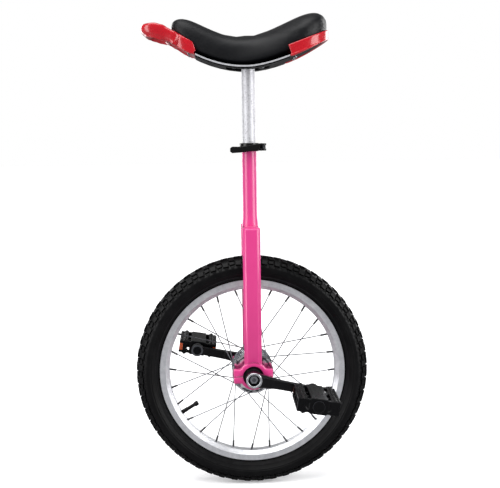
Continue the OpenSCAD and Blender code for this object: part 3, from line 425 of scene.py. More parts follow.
def amberLens():
    material, tree, place = startMaterial("amber_acrylic_lens")
    cut = add(tree, "TexVoronoi",
              {"distance": "MANHATTAN", "Scale": 1 / lensFinish["prism"], "Randomness": 0},
              {0: (place, "Object")})
    # the lighter colour at each prism's middle is a painted glint
    tone = add(tree, "Mix", {"data_type": "RGBA", 6: lensFinish["lit"], 7: lensFinish["amber"]},
               {0: (cut, "Distance")})
    skin = add(tree, "Bump", {"Distance": lensFinish["depth"], "Strength": 1}, {"Height": (cut, "Distance")})
    shader = add(tree, "BsdfPrincipled",
                 {"IOR": 1.49, "Roughness": lensFinish["roughness"], "Coat Weight": 0.8,
                  "Subsurface Weight": 0.2, "Subsurface Radius": (0.01, 0.004, 0.001)},
                 {"Base Color": (tone, 2), "Normal": (skin, 0)})
    add(tree, "OutputMaterial", links={"Surface": (shader, 0)})
    return material


# Open-cell foam: pale yellow and matt, with pores, each painted darker in its hollow as painted shade
foamFinish = {"deep": "#C9BC8C", "pale": "#E6DDB8", "pore": 1.2 * mm, "depth": 0.3 * mm, "roughness": 0.95}


def foam():
    material, tree, place = startMaterial("polyurethane_foam")
    pores = add(tree, "TexVoronoi", {"Scale": 1 / foamFinish["pore"]}, {0: (place, "Object")})
    # the deeper colour in each pore's hollow is painted shade
    tone = add(tree, "Mix", {"data_type": "RGBA", 6: foamFinish["deep"], 7: foamFinish["pale"]},
               {0: (pores, "Distance")})
    skin = add(tree, "Bump", {"Distance": foamFinish["depth"], "Strength": 1},
               {"Height": (pores, "Distance")})
    shader = add(tree, "BsdfPrincipled", {"Roughness": foamFinish["roughness"]},
                 {"Base Color": (tone, 2), "Normal": (skin, 0)})
    add(tree, "OutputMaterial", links={"Surface": (shader, 0)})
    return material


finishes = {
    "frame_paint": pinkEnamel(),
    "rim_alloy": rimAluminium(),
    "crank_black": crankEnamel(),
    "post_steel": zincTube(),
    "tyre_rubber": mouldedRubber("tyre_rubber", "#070708", "#101011", 0.42, 35 * mm, 1.1 * mm, 0.06 * mm,
                                 0.13),
    "butyl_rubber": mouldedRubber("butyl_rubber", "#070708", "#0E0E10", 0.42, 12 * mm, 0.8 * mm, 0.03 * mm,
                                  0.2),
    "rim_tape": mouldedRubber("rim_tape", "#242322", "#33312E", 0.7, 15 * mm, 1 * mm, 0.04 * mm),
    "seal_rubber": mouldedRubber("seal_rubber", "#111112", "#1C1C1D", 0.5, 8 * mm, 0.7 * mm, 0.03 * mm),
    "piping": mouldedRubber("grey_piping", "#A9AAAE", "#C2C3C7", 0.45, 10 * mm, 0.8 * mm, 0.04 * mm),
    "vinyl_cover": blackVinyl(),
    "foam": foam(),
    "reflector_amber": amberLens(),
    # the pedal's last colour is painted along its edges as a painted highlight
    "pedal_resin": mouldedPlastic("black_pedal_resin", "#08080A", "#040405", 0.3, 0.9 * mm, 0.05 * mm,
                                  0, 0.16, "#4C4D52"),
    "base_plastic": mouldedPlastic("black_polypropylene", "#050506", "#030304", 0.5, 1 * mm, 0.05 * mm,
                                   0, 0.06),
    "bush_nylon": mouldedPlastic("natural_nylon", "#E0DCCF", "#D0CBBB", 0.4, 1 * mm, 0.02 * mm),
    "bumper_red": mouldedPlastic("red_polypropylene", "#C60E21", "#B0081A", 0.27, 0.8 * mm, 0.012 * mm, 0.4),
    "clamp_black": mouldedPlastic("black_anodised_alloy", "#0A0A0C", "#050506", 0.3, 0.7 * mm, 0.02 * mm,
                                  0.05, 0.3),
    "spoke_steel": plainMetal("bright_drawn_wire", "#85878C", "#54565B", 0.32, 1.5 * mm),
    "nipple_brass": plainMetal("nickel_plated_brass", "#6E6E70", "#333335", 0.3, 0.8 * mm),
    "hub_alloy": chromedHub(),
    "axle_steel": plainMetal("ground_steel", "#85878C", "#4A4C51", 0.26, 1 * mm),
    "race_steel": plainMetal("bearing_steel", "#C9CBD0", "#A9ABB0", 0.18, 1 * mm),
    "black_race": plainMetal("black_oxide_steel", "#2A2B2E", "#191A1C", 0.35, 1 * mm),
    "ball_steel": plainMetal("polished_ball_steel", "#E0E1E4", "#C8C9CD", 0.08, 1 * mm, 0.002 * mm),
    "cage_brass": plainMetal("pressed_brass", "#C49A4A", "#9C7836", 0.3, 1 * mm),
    "screw_steel": plainMetal("zinc_plated_steel", "#B3B5BA", "#808288", 0.28, 1 * mm),
}
print("materials made:", len(finishes))


# CAD nodes keep their shape and get their finish by the record's material slots

slotNodes = {
    "frame_paint": ["seat_tube", "fork_crown", "left_fork_leg", "right_fork_leg", "left_bearing_housing",
                    "right_bearing_housing", "left_bearing_cap", "right_bearing_cap"],
    "rim_alloy": ["rim"],
    "crank_black": ["left_crank", "right_crank"],
    "post_steel": ["seat_post"],
    "butyl_rubber": ["inner_tube", "valve_stem", "valve_cap"],
    "rim_tape": ["rim_tape"],
    "seal_rubber": ["bearing_seals"],
    "piping": ["saddle_piping"],
    "foam": ["saddle_foam"],
    "vinyl_cover": ["saddle_cover"],
    "tyre_rubber": ["tyre"],
    "reflector_amber": ["left_pedal_reflectors", "right_pedal_reflectors"],
    "pedal_resin": ["left_pedal_body", "right_pedal_body", "left_pedal_cap", "right_pedal_cap"],
    "base_plastic": ["saddle_base"],
    "bush_nylon": ["left_pedal_bushes", "right_pedal_bushes"],
    "bumper_red": ["front_handle", "rear_bumper"],
    "clamp_black": ["seat_clamp", "clamp_lever", "clamp_nut"],
    "spoke_steel": ["left_spokes", "right_spokes"],
    "nipple_brass": ["spoke_nipples"],
    "hub_alloy": ["hub_shell"],
    "axle_steel": ["axle", "axle_spacers"],
    "race_steel": ["bearing_inner_races"],
    "black_race": ["bearing_outer_races", "left_pedal_spindle", "right_pedal_spindle", "clamp_skewer",
                   "cam_pin", "cam_washer", "crank_washers"],
    "ball_steel": ["left_bearing_balls", "right_bearing_balls"],
    "cage_brass": ["left_ball_cage", "right_ball_cage"],
    "screw_steel": ["bearing_cap_screws", "crank_nuts", "pedal_locknuts", "post_bracket",
                    "saddle_bolts", "bumper_screws"],
}
for slotName, names in slotNodes.items():
    for name in names:
        nodes[name].data.materials.clear()
        nodes[name].data.materials.append(finishes[slotName])
missed = sorted(set(nodes) - {name for names in slotNodes.values() for name in names})
print("CAD nodes without a finish:", missed)


# how pieces are made


def faceOutward(mesh):
    work = bmesh.new()
    work.from_mesh(mesh)
    bmesh.ops.recalc_face_normals(work, faces=work.faces)
    work.to_mesh(mesh)
    work.free()


def finishPiece(piece, body, slotName, replaces=(), sharp=35):
    mesh = piece.data
    faceOutward(mesh)
    mesh.shade_smooth()
    mesh.set_sharp_from_angle(angle=math.radians(sharp))
    mesh.materials.clear()
    mesh.materials.append(finishes[slotName])
    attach(piece, body)
    if replaces:
        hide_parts(*replaces)
    return piece


def settle(piece):
    # turns what the modifiers show into the piece's own mesh
    shown = piece.evaluated_get(bpy.context.evaluated_depsgraph_get())
    mesh = bpy.data.meshes.new_from_object(shown)
    piece.modifiers.clear()
    old = piece.data
    piece.data = mesh
    bpy.data.meshes.remove(old)
    mesh.name = piece.name


def scratch(name, corners, faces):
    # a mesh in the frame's own place, with corners in metres
    mesh = bpy.data.meshes.new(name)
    mesh.from_pydata([tuple(c) for c in corners], [], faces)
    faceOutward(mesh)
    piece = bpy.data.objects.new(name, mesh)
    scene.collection.objects.link(piece)
    return piece


def joined(pieces):
    # one object from several, the first one keeps its name
    work = bmesh.new()
    for piece in pieces:
        work.from_mesh(piece.data)
    work.to_mesh(pieces[0].data)
    work.free()
    for piece in pieces[1:]:
        bpy.data.objects.remove(piece)
    return pieces[0]


def moulded(piece, voxel, passes, factor=0.5):
    # welds overlapping solids into one skin and softens it, as a mould or a casting does
    remesh = piece.modifiers.new("skin", "REMESH")
    remesh.mode = "VOXEL"
    remesh.voxel_size = voxel
    smooth = piece.modifiers.new("soften", "SMOOTH")
    smooth.factor = factor
    smooth.iterations = passes
    settle(piece)
    return piece


def combined(body, tool, operation):
    # welds a solid tool onto the body or cuts it out
    change = body.modifiers.new("change", "BOOLEAN")
    change.operation = operation
    change.object = tool
    change.solver = "MANIFOLD"
    settle(body)
    bpy.data.objects.remove(tool)


def turns(count):
    return [2 * math.pi * k / count for k in range(count)]


def squared(value, power):
    # a sine or cosine bent towards a rounded rectangle, 2 leaves a circle
    return math.copysign(abs(value) ** (2 / power), value)


def ringFaces(rings, around, closed=False):
    # quads between rings of corners, and a face over each end unless the last ring meets the first
    faces = []
    for i in range(rings if closed else rings - 1):
        j = (i + 1) % rings
        for k in range(around):
            m = (k + 1) % around
            faces.append((i * around + k, i * around + m, j * around + m, j * around + k))
    if not closed:
        faces += [tuple(range(around)), tuple(range((rings - 1) * around, rings * around))]
    return faces


# Tyre: a smooth carcass with rings on its sidewall, and moulded blocks welded onto it

tyreShape = {
    "blockHeight": 3.4 * mm, "treadEdge": 62, "wallStart": 84,  # degrees round the section from the crown
    "ringPlaces": (101, 109, 128), "ringHeight": 0.45 * mm, "ringSpread": 1.6,
    "hookHeight": 6.5 * mm, "lipDepth": 3.2 * mm, "beadInset": 2.4 * mm, "crownWall": 8 * mm,
    "sideWall": 3 * mm, "beadWall": 2.5 * mm, "turns": 224, "outerSteps": 30, "innerSteps": 12,
    "pitches": 54, "chamfer": 0.7 * mm, "root": 1.3 * mm, "flare": 0.7 * mm,
}
# each block: share of a pitch that it is set round, height share, corners as (mm round the tyre, degrees)
treadBlocks = [
    (0.0, 1.0, [(-8, -10), (-4.5, -1), (-8, 10), (3.5, 10.5), (7.5, 1), (3.5, -10)]),
    (0.52, 1.0, [(-7, 16), (-4, 35), (6.5, 37), (4.5, 18)]),
    (0.02, 1.0, [(-6.5, 42), (-5.5, 64), (5, 66), (6, 44)]),
    (0.5, 0.9, [(-5.5, 45), (-4, 60), (5.5, 58), (5, 44)]),
    (0.02, 0.5, [(-4, 70), (-2.5, 84), (3, 84), (4.5, 71)]),
    (0.5, 0.55, [(-2.6, 66), (-1.2, 88), (2.6, 88), (3.4, 66)]),
]


def makeTyre():
    rimHigh = boxOf("rim")[1]
    outer = tyreHigh.z - axleHeight
    hook = rimHigh.z - axleHeight
    halfHeight = (outer - hook) / 2 + 0.25 * mm
    halfWidth = tyreHigh.y
    middle = outer - halfHeight
    bead = hook - tyreShape["hookHeight"]
    beadSide = rimHigh.y - tyreShape["beadInset"]
    endAngle = math.pi - math.asin(beadSide / halfWidth)

    def skin(angle, depth=0.0):
        # point on the section, depth metres under the oval, as (radius, side)
        across, along = halfWidth * math.sin(angle), halfHeight * math.cos(angle)
        slope = Vector((math.cos(angle) / halfHeight, math.sin(angle) / halfWidth)).normalized()
        return Vector((middle + along, across)) - slope * depth

    def carcassDepth(angle):
        a = abs(math.degrees(angle))
        t = min(1, max(0, (a - tyreShape["treadEdge"]) / (tyreShape["wallStart"] - tyreShape["treadEdge"])))
        depth = tyreShape["blockHeight"] * (1 - t * t * (3 - 2 * t))
        for spot in tyreShape["ringPlaces"]:
            depth -= tyreShape["ringHeight"] * math.exp(-((a - spot) / tyreShape["ringSpread"]) ** 2)
        return depth

    steps, inner = tyreShape["outerSteps"], tyreShape["innerSteps"]
    angles = [endAngle * i / steps for i in range(-steps, steps + 1)]
    spread = tyreShape["ringSpread"]
    fine = [math.radians(s + d) * side for s in tyreShape["ringPlaces"] for d in (-spread, 0, spread)
            for side in (-1, 1)]
    angles = sorted(angles + fine)
    section = [skin(a, carcassDepth(a)) for a in angles]
    lip = [(hook + 0.4 * mm, beadSide), (bead, beadSide), (bead, beadSide - tyreShape["lipDepth"]),
           (hook, beadSide - tyreShape["lipDepth"])]
    section += [Vector(p) for p in lip]
    cavityHeight = halfHeight - tyreShape["crownWall"]
    cavityWidth = halfWidth - tyreShape["sideWall"]
    cavityEnd = math.pi - math.asin((beadSide - tyreShape["beadWall"]) / cavityWidth)
    for i in range(inner, -inner - 1, -1):
        a = cavityEnd * i / inner
        section.append(Vector((middle + cavityHeight * math.cos(a), cavityWidth * math.sin(a))))
    section += [Vector((p[0], -p[1])) for p in reversed(lip)]

    def place(radius, side, turn):
        return Vector((radius * math.sin(turn), side, axleHeight + radius * math.cos(turn)))

    corners = [place(p[0], p[1], turn) for turn in turns(tyreShape["turns"]) for p in section]
    carcass = scratch("tyre_carcass", corners, ringFaces(tyreShape["turns"], len(section), True))

    blockCorners, blockFaces = [], []
    levels = [(-tyreShape["root"], tyreShape["flare"]), (None, 0.0), (0.0, -tyreShape["chamfer"])]
    pitch = 2 * math.pi / tyreShape["pitches"]
    for number in range(tyreShape["pitches"]):
        for share, high, outline in treadBlocks:
            for side in ((1,) if outline[0][1] < 0 else (1, -1)):
                points = []
                for (u0, a0), (u1, a1) in zip(outline, outline[1:] + outline[:1]):
                    pieces = max(1, round(abs(a1 - a0) / 9))
                    for k in range(pieces):
                        points.append((u0 + (u1 - u0) * k / pieces, a0 + (a1 - a0) * k / pieces))
                centreU = sum(p[0] for p in points) / len(points)
                centreA = sum(p[1] for p in points) / len(points)
                base = len(blockCorners)
                height = tyreShape["blockHeight"] * high
                for depth, grow in levels:
                    for u, a in points:
                        reach = math.hypot(u - centreU, (a - centreA) * 0.44)
                        factor = 1 + grow / mm / max(reach, 3)
                        uu = centreU + (u - centreU) * factor
                        aa = math.radians(centreA + (a - centreA) * factor)
                        under = carcassDepth(aa)
                        top = max(0.0, under - height)
                        if depth is None:
                            level = top + tyreShape["chamfer"]
                        elif depth < 0:
                            level = under - depth
                        else:
                            level = top
                        spot = skin(aa, level)
                        turn = pitch * (number + share) + uu * mm / spot[0]
                        blockCorners.append(place(spot[0], spot[1] * side, turn))
                blockFaces += [tuple(base + i for i in f) for f in ringFaces(len(levels), len(points))]
    blocks = scratch("tread_blocks", blockCorners, blockFaces)
    for piece in (carcass, blocks):
        work = bmesh.new()
        work.from_mesh(piece.data)
        bmesh.ops.triangulate(work, faces=[f for f in work.faces if len(f.verts) > 4])
        bmesh.ops.recalc_face_normals(work, faces=work.faces)
        work.to_mesh(piece.data)
        work.free()
    combined(carcass, blocks, "UNION")
    carcass.name = "knobbly_tyre"
    print("tyre faces:", len(carcass.data.polygons))
    return finishPiece(carcass, "wheel", "tyre_rubber", ["tyre"], 30)


makeTyre()

# Saddle: curves of the pad and its base, in mm from the post

postTop = boxOf("seat_post")[1].z / mm
saddle = {
    "front": 148, "back": 152, "noseHalf": 42, "tailHalf": 76, "height": 57, "noseRise": 36, "tailRise": 43,
    "baseNoseRise": 53.5, "baseTailRise": 48.5, "baseThick": 5, "bumperHigh": 22,
    "frontBumperEnd": -101, "rearBumperStart": 76,
}
seatLevel = postTop - 6


def ease(t):
    t = min(1, max(0, t))
    return t * t * (3 - 2 * t)


def dip(x, edge, radius):
    return 0 if x <= edge else radius - math.sqrt(max(0, radius ** 2 - (x - edge) ** 2))


def endRound(t, power):
    return 1 if t <= 0 else max(0, 1 - t ** power) ** (1 / power)


def padTop(x):
    noseX, tailX = saddle["front"] - 20, saddle["back"] - 25
    if x < 0:
        rise = saddle["noseRise"] * ease(min(1, -x / noseX) ** 1.4)
    else:
        rise = saddle["tailRise"] * ease(min(1, x / tailX) ** 1.2)
    return seatLevel + saddle["height"] + rise - dip(-x, noseX, 20.3) - dip(x, tailX, 27)


def baseLow(x):
    if x < 0:
        return seatLevel - 7 + saddle["baseNoseRise"] * (-x / saddle["front"]) ** 2.1
    return seatLevel - 7 + saddle["baseTailRise"] * (x / (saddle["back"] - 7)) ** 1.65


def halfWidth(x):
    body = saddle["noseHalf"] + (saddle["tailHalf"] - saddle["noseHalf"]) * ease((x + 50) / 150)
    nose = endRound((-x - saddle["front"] + 44) / 44, 2.4)
    return body * nose * endRound((x - saddle["back"] + 56) / 56, 2.3)


pad = {
    "rings": 58, "around": 44, "inset": 3.0, "bumperInset": 5.2, "crown": 2.5, "skirt": 3.2, "shoulder": 0.42,
    "voxel": 4.5 * mm, "pressure": 4.0, "swell": 5 * mm, "frames": 20,
}


def padRing(x, inset):
    # one cross section of the pad, from the middle of its underside round to the top and back
    low = baseLow(x) + saddle["baseThick"] + 0.3
    top = max(low + 4, padTop(x) - inset)
    wide = max(1.0, halfWidth(x) - inset * 0.8)
    waist = low + (top - low) * pad["shoulder"]
    inBumper = ease((saddle["frontBumperEnd"] + 6 - x) / 6) + ease((x - saddle["rearBumperStart"] + 6) / 6)
    ring = []
    for k in range(pad["around"]):
        angle = 2 * math.pi * k / pad["around"] - math.pi / 2
        c, s = math.cos(angle), math.sin(angle)
        power = pad["crown"] if s > 0 else pad["skirt"]
        y = wide * squared(c, power)
        z = waist + ((top - waist) if s > 0 else (waist - low)) * squared(s, power)
        edge = baseLow(x) + saddle["bumperHigh"]
        tuck = inBumper * ease((edge + 5 - z) / 6)
        limit = max(0.6, halfWidth(x) - pad["bumperInset"])
        y += tuck * (max(-limit, min(limit, y)) - y)
        ring.append((x * mm, y * mm, z * mm))
    return ring


def makePad():
    count = pad["rings"]
    inset = pad["inset"]
    start, end = -saddle["front"] + inset, saddle["back"] - inset
    corners = []
    for i in range(count):
        x = start + (end - start) * (1 - math.cos(math.pi * (i + 0.35) / (count - 0.3))) / 2
        corners += padRing(x, inset)
    piece = scratch("padded_saddle_cover", corners, ringFaces(count, pad["around"]))
    remesh = piece.modifiers.new("skin", "REMESH")
    remesh.mode = "VOXEL"
    remesh.voxel_size = pad["voxel"]
    settle(piece)
    rest = [v.co.copy() for v in piece.data.vertices]
    held = piece.vertex_groups.new(name="held")
    for v in piece.data.vertices:
        x = v.co.x / mm
        edge = baseLow(min(max(x, -saddle["front"]), saddle["back"])) + saddle["baseThick"]
        inBumper = x < saddle["frontBumperEnd"] or x > saddle["rearBumperStart"]
        top = edge + (19 if inBumper else 3)
        weight = 1 - ease((v.co.z / mm - top) / 6)
        if weight > 0:
            held.add([v.index], weight, "REPLACE")
    cloth = piece.modifiers.new("stuffing", "CLOTH")
    cloth.settings.use_pressure = True
    cloth.settings.uniform_pressure_force = pad["pressure"]
    cloth.settings.effector_weights.gravity = 0
    cloth.settings.vertex_group_mass = "held"
    cloth.settings.quality = 6
    cloth.point_cache.frame_start = 1
    cloth.point_cache.frame_end = pad["frames"]
    for number in range(1, pad["frames"] + 1):
        scene.frame_set(number)
    settle(piece)
    scene.frame_set(1)
    for v, was in zip(piece.data.vertices, rest):
        move = v.co - was
        if move.length > pad["swell"]:
            v.co = was + move * (pad["swell"] / move.length)
    smooth = piece.modifiers.new("soften", "SMOOTH")
    smooth.factor = 0.5
    smooth.iterations = 6
    finer = piece.modifiers.new("finer", "SUBSURF")
    finer.levels = 1
    finer.render_levels = 1
    settle(piece)
    finishPiece(piece, "saddle", "vinyl_cover", ["saddle_cover", "saddle_foam"], 180)
    print("pad faces:", len(piece.data.polygons))
    return piece


makePad()


def sweep(name, path, sections, around=24, closed=False):
    # a solid bar along a path in mm, with (half thickness, half height, roundness, lean) at each point
    corners = []
    count = len(path)
    for i, (point, (thick, high, power, lean)) in enumerate(zip(path, sections)):
        before = path[(i - 1) % count] if closed or i else path[i]
        after = path[(i + 1) % count] if closed or i < count - 1 else path[i]
        run = Vector((after[0] - before[0], after[1] - before[1], after[2] - before[2])).normalized()
        out = Vector((run.y, -run.x, 0)).normalized()
        up = out.cross(run).normalized()
        up = up if up.z > 0 else -up
        for angle in turns(around):
            a = squared(math.cos(angle), power) * thick
            b = squared(math.sin(angle), power) * high
            corners.append((Vector(point) + out * (a + lean * b) + up * b) * mm)
    return scratch(name, corners, ringFaces(count, around, closed))


def underPlate(name, x0, x1, inset, thick, steps=18):
    # the bumper's lip under the base, which its screws go through
    corners = []
    for i in range(steps + 1):
        x = x0 + (x1 - x0) * i / steps
        wide = max(1, halfWidth(x) - inset)
        low = baseLow(x)
        corners += [(x * mm, y * mm, z * mm) for y, z in
                    ((-wide, low), (wide, low), (wide, low + thick), (-wide, low + thick))]
    return scratch(name, corners, ringFaces(steps + 1, 4))


handle = {
    "band": {"thick": 2.3, "high": 11.4, "round": 4},
    "plateThick": 2.6, "plateLift": 1.6, "voxel": 1.0 * mm, "passes": 5, "gripPasses": 26,
    "ring": {"centre": -171.5, "along": 22, "across": 33.5, "round": 3.0, "steps": 80},
    # height of the middle of the loop and half its depth, by x
    "profile": [(-197, 896.5, 8.6), (-189, 896.0, 11.0), (-178, 895.0, 13.0), (-165, 891.5, 13.4),
                (-154, 887.0, 11.6), (-145, 882.0, 11.4), (-133, 875.0, 12.0), (-118, 865.6, 11.8)],
    "profileSeat": 828,  # the profile's heights are for a post whose seat level is this
    "steps": 44,
}


def along(table, x):
    # straight-line values between the rows of a table whose first column is x
    if x <= table[0][0]:
        return table[0][1:]
    for first, second in zip(table, table[1:]):
        if x <= second[0]:
            t = ease((x - first[0]) / (second[0] - first[0]))
            return [a + (b - a) * t for a, b in zip(first[1:], second[1:])]
    return table[-1][1:]


def makeHandle():
    band, parts, lift = handle["band"], [], seatLevel - handle["profileSeat"]
    path, sections = [], []
    steps = handle["steps"]
    for i in range(steps + 1):
        # round the pad's nose, from one end of the band to the other
        angle = math.pi * i / steps
        c, s = math.cos(angle), math.sin(angle)
        reach = saddle["front"] - 1.5 + saddle["frontBumperEnd"] + 2
        x = saddle["frontBumperEnd"] - 2 - reach * abs(s) ** (2 / 2.4)
        y = max(0.0, halfWidth(x) - 2.4) if abs(c) > 0.02 else 0.0
        cut = 6.5 * ease((x - saddle["frontBumperEnd"] + 12) / 11)
        path.append((x, math.copysign(y, c), baseLow(x) + band["high"] - cut + 0.2))
        sections.append((band["thick"], band["high"] - cut, band["round"], 0))
    thin = [sweep("front_band", path, sections)]
    # the loop that the hand holds, round the finger slot
    ring = handle["ring"]
    path, sections, fins, finSections = [], [], [], []
    for angle in turns(ring["steps"]):
        c, s = math.cos(angle), math.sin(angle)
        x = ring["centre"] + ring["along"] * squared(c, ring["round"])
        y = ring["across"] * squared(s, ring["round"])
        middle, deep = along(handle["profile"], x)
        thick = 5.6 + 4.2 * ease(-c) ** 2 + 1.6 * ease(c)
        path.append((x, y, middle + lift))
        sections.append((thick, deep, 2.3, 0.12))
        fins.append((x, y, middle + lift - deep))
        finSections.append((1.9, 3.4, 3, 0))
    parts.append(sweep("grip_ring", path, sections, 28, True))
    parts.append(sweep("grip_skirt", fins, finSections, 12, True))
    # shoulders that run back from the loop into the band on both sides
    for side in (-1, 1):
        path, sections = [], []
        for i in range(17):
            x = -176 + 62 * i / 16
            middle, deep = along(handle["profile"], x)
            reach = 32.6 + 7.4 * ease((x + 165) / 45)
            limit = halfWidth(x) - 2.4 if x > -134 else reach
            path.append((x, side * min(reach, limit), middle + lift))
            thick = 5.0 - 2.0 * ease((x + 145) / 30)
            sections.append((thick, deep * (1 - 0.3 * ease((x + 133) / 18)), 2.6, 0.1))
        parts.append(sweep("shoulder", path, sections, 20))
    plate = underPlate("front_plate", -saddle["front"] + 3, saddle["frontBumperEnd"], 1.5,
                       handle["plateThick"])
    for v in plate.data.vertices:
        v.co.z += handle["plateLift"] * mm
    thin.append(plate)
    grip = moulded(joined(parts), handle["voxel"], handle["gripPasses"])
    piece = moulded(joined([grip] + thin), handle["voxel"], handle["passes"])
    piece.name = "lifting_handle"
    print("handle faces:", len(piece.data.polygons))
    return finishPiece(piece, "saddle", "bumper_red", ["front_handle"], 180)


makeHandle()

rearGuard = {"thick": 2.4, "high": 11.2, "round": 5, "flare": 0.05, "voxel": 1.1 * mm, "passes": 4,
             "steps": 44}


def makeRearBumper():
    path, sections = [], []
    steps = rearGuard["steps"]
    start = saddle["rearBumperStart"]
    xs = [start + (saddle["back"] - 56 - start) * i / 6 for i in range(6)]
    side = [(x, halfWidth(x) - 2.4) for x in xs]
    for i in range(steps + 1):
        angle = math.pi / 2 * i / steps
        x = saddle["back"] - 56 + (56 - 1.5) * math.sin(angle) ** (2 / 2.3)
        side.append((x, max(0.0, halfWidth(x + 0.2) - 2.4) if i < steps else 0.0))
    outline = [(x, -y) for x, y in side] + [(x, y) for x, y in reversed(side[:-1])]
    spaced = [outline[0]]
    for x, y in outline[1:]:
        if math.hypot(x - spaced[-1][0], y - spaced[-1][1]) > 2.5:
            spaced.append((x, y))
    for x, y in spaced:
        drop = 4.2 * ease((x - start) / (saddle["back"] - start))
        path.append((x, y, baseLow(x) + rearGuard["high"] + 0.8 - drop * 0.4))
        high = rearGuard["high"] - drop * 0.5
        sections.append((rearGuard["thick"], high, rearGuard["round"], rearGuard["flare"]))
    band = sweep("rear_band", path, sections)
    lip = []
    for x, y in spaced:
        lip.append((x, y * 1.008, baseLow(x) + 2.6))
    rib = sweep("rear_rib", lip, [(2.7, 1.5, 2.5, 0)] * len(lip))
    plate = underPlate("rear_plate", start, saddle["back"] - 3, 1.5, handle["plateThick"])
    for v in plate.data.vertices:
        v.co.z += 2 * handle["plateLift"] * mm
    piece = moulded(joined([band, rib, plate]), rearGuard["voxel"], rearGuard["passes"])
    piece.name = "rear_guard"
    return finishPiece(piece, "saddle", "bumper_red", ["rear_bumper"], 180)


makeRearBumper()
print("saddle made")


# Cast, forged and welded parts: the CAD's shape with its edges softened

weldDistance = 0.02 * mm
softAngle = 33  # degrees


def soften(name, width, segments=2):
    node = nodes[name]
    weld = node.modifiers.new("weld", "WELD")
    weld.merge_threshold = weldDistance
    edge = node.modifiers.new("edge", "BEVEL")
    edge.width = width
    edge.segments = segments
    edge.limit_method = "ANGLE"
    edge.angle_limit = math.radians(softAngle)
    edge.use_clamp_overlap = False
    edge.harden_normals = True
    node.data.shade_smooth()


softEdges = {"left_fork_leg": 1.6, "right_fork_leg": 1.6, "fork_crown": 1.2, "left_bearing_housing": 1.1,
             "right_bearing_housing": 1.1, "left_bearing_cap": 1.0, "right_bearing_cap": 1.0,
             "seat_clamp": 0.7}
for name, width in softEdges.items():
    soften(name, width * mm)


def copyOf(name, newName):
    # the node's mesh in the frame's own place, as a new piece
    mesh = nodes[name].data.copy()
    mesh.transform(nodes[name].matrix_world)
    piece = bpy.data.objects.new(newName, mesh)
    scene.collection.objects.link(piece)
    work = bmesh.new()
    work.from_mesh(mesh)
    bmesh.ops.remove_doubles(work, verts=work.verts, dist=weldDistance)
    work.to_mesh(mesh)
    work.free()
    return piece


def block(low, high, place):
    # a box between two corners in mm, put where place(x, y, z) says
    corners = [place(x, y, z) for x in (low[0], high[0]) for y in (low[1], high[1]) for z in (low[2], high[2])]
    faces = [(0, 1, 3, 2), (4, 6, 7, 5), (0, 4, 5, 1), (2, 3, 7, 6), (0, 2, 6, 4), (1, 5, 7, 3)]
    return scratch("block", corners, faces)


def prism(outline, y0, y1, place):
    # an outline of (x, z) in mm between two values of y
    corners = [place(x, y, z) for y in (y0, y1) for x, z in outline]
    return scratch("prism", corners, ringFaces(2, len(outline)))


def dome(x, y, z, radius, tall, place, around=10):
    # a low round stud that stands on z
    corners, levels = [], [(-1.0, 1.0), (0.0, 1.0), (0.6, 0.82), (0.95, 0.42)]
    for up, wide in levels:
        for a in turns(around):
            reach = radius * wide
            corners.append(place(x + reach * math.cos(a), y + reach * math.sin(a), z + tall * up))
    return scratch("stud", corners, ringFaces(len(levels), around))


def tube(x, z, y0, y1, outer, inner, place, around=48):
    # a ring or washer whose axis is along y
    corners = []
    for y, radius in ((y0, inner), (y0, outer), (y1, outer), (y1, inner)):
        for a in turns(around):
            corners.append(place(x + radius * math.cos(a), y, z + radius * math.sin(a)))
    return scratch("ring", corners, ringFaces(4, around, True))


crank = {
    "flareRoot": 14.2, "flareTip": 7.6, "flareStart": 4, "flareEnd": 56, "flareDepths": (17, 7),
    "eyeRing": (12.2, 8.6, 0.8), "eyeDepth": 13, "bore": 7.2, "counterbore": 10.0, "counterboreFloor": 11.5,
    "voxel": 0.9 * mm, "passes": 7,
}


def makeCrank(side):
    name = "left_crank" if side < 0 else "right_crank"
    body = copyOf(name, "forged_" + name)
    eye = boxOf(name.replace("crank", "pedal_spindle"))[2]
    angle = math.atan2(axleHeight - eye.z, eye.x)
    reach = math.hypot(axleHeight - eye.z, eye.x) / mm
    ca, sa = math.cos(angle), math.sin(angle)

    def place(x, y, z):
        return Vector(((x * ca + z * sa) * mm, side * y * mm, axleHeight + (z * ca - x * sa) * mm))

    low, high = boxOf(name)[:2]
    outside = max(abs(low.y), abs(high.y)) / mm
    inside = min(abs(low.y), abs(high.y)) / mm
    root, tip = crank["flareRoot"], crank["flareTip"]
    start, end = crank["flareStart"], crank["flareEnd"]
    outline = [(start, -root), (end, -tip), (end, tip), (start, root)]
    face = crankFace / mm
    deep, shallow = crank["flareDepths"]
    flare = prism(outline, face - deep, face - shallow, place)
    eyeOuter, eyeInner, eyeTall = crank["eyeRing"]
    level = outside - crank["eyeDepth"]
    washer = joined([tube(reach, 0, level - eyeTall, level + 0.4, eyeOuter, eyeInner, place),
                     tube(reach, 0, level - eyeTall * 2, level + 0.1, eyeOuter - 1, eyeInner + 0.6, place)])
    washer.name = name + "_eye_washer"
    finishPiece(washer, "wheel", "axle_steel", (), 30)
    # the washer has the axle's slot and the look of drawn wire, which is duller than a ground face
    washer.data.materials[0] = finishes["spoke_steel"]
    combined(body, flare, "UNION")
    combined(body, cylinderAt(0, 0, inside - 1, face + 1, crank["bore"], place), "DIFFERENCE")
    floor = inside + crank["counterboreFloor"]
    combined(body, cylinderAt(0, 0, floor, face + 1, crank["counterbore"], place), "DIFFERENCE")
    piece = moulded(body, crank["voxel"], crank["passes"])
    piece.name = "forged_" + name
    return finishPiece(piece, "wheel", "crank_black", [name], 180)


def cylinderAt(x, z, y0, y1, radius, place, around=40):
    outline = [(x + radius * math.cos(a), z + radius * math.sin(a)) for a in turns(around)]
    return prism(outline, y0, y1, place)


for side in (-1, 1):
    makeCrank(side)
print("cranks made")

# Pedals: moulded bodies with toothed rails and studs, and amber lenses set back in their sides

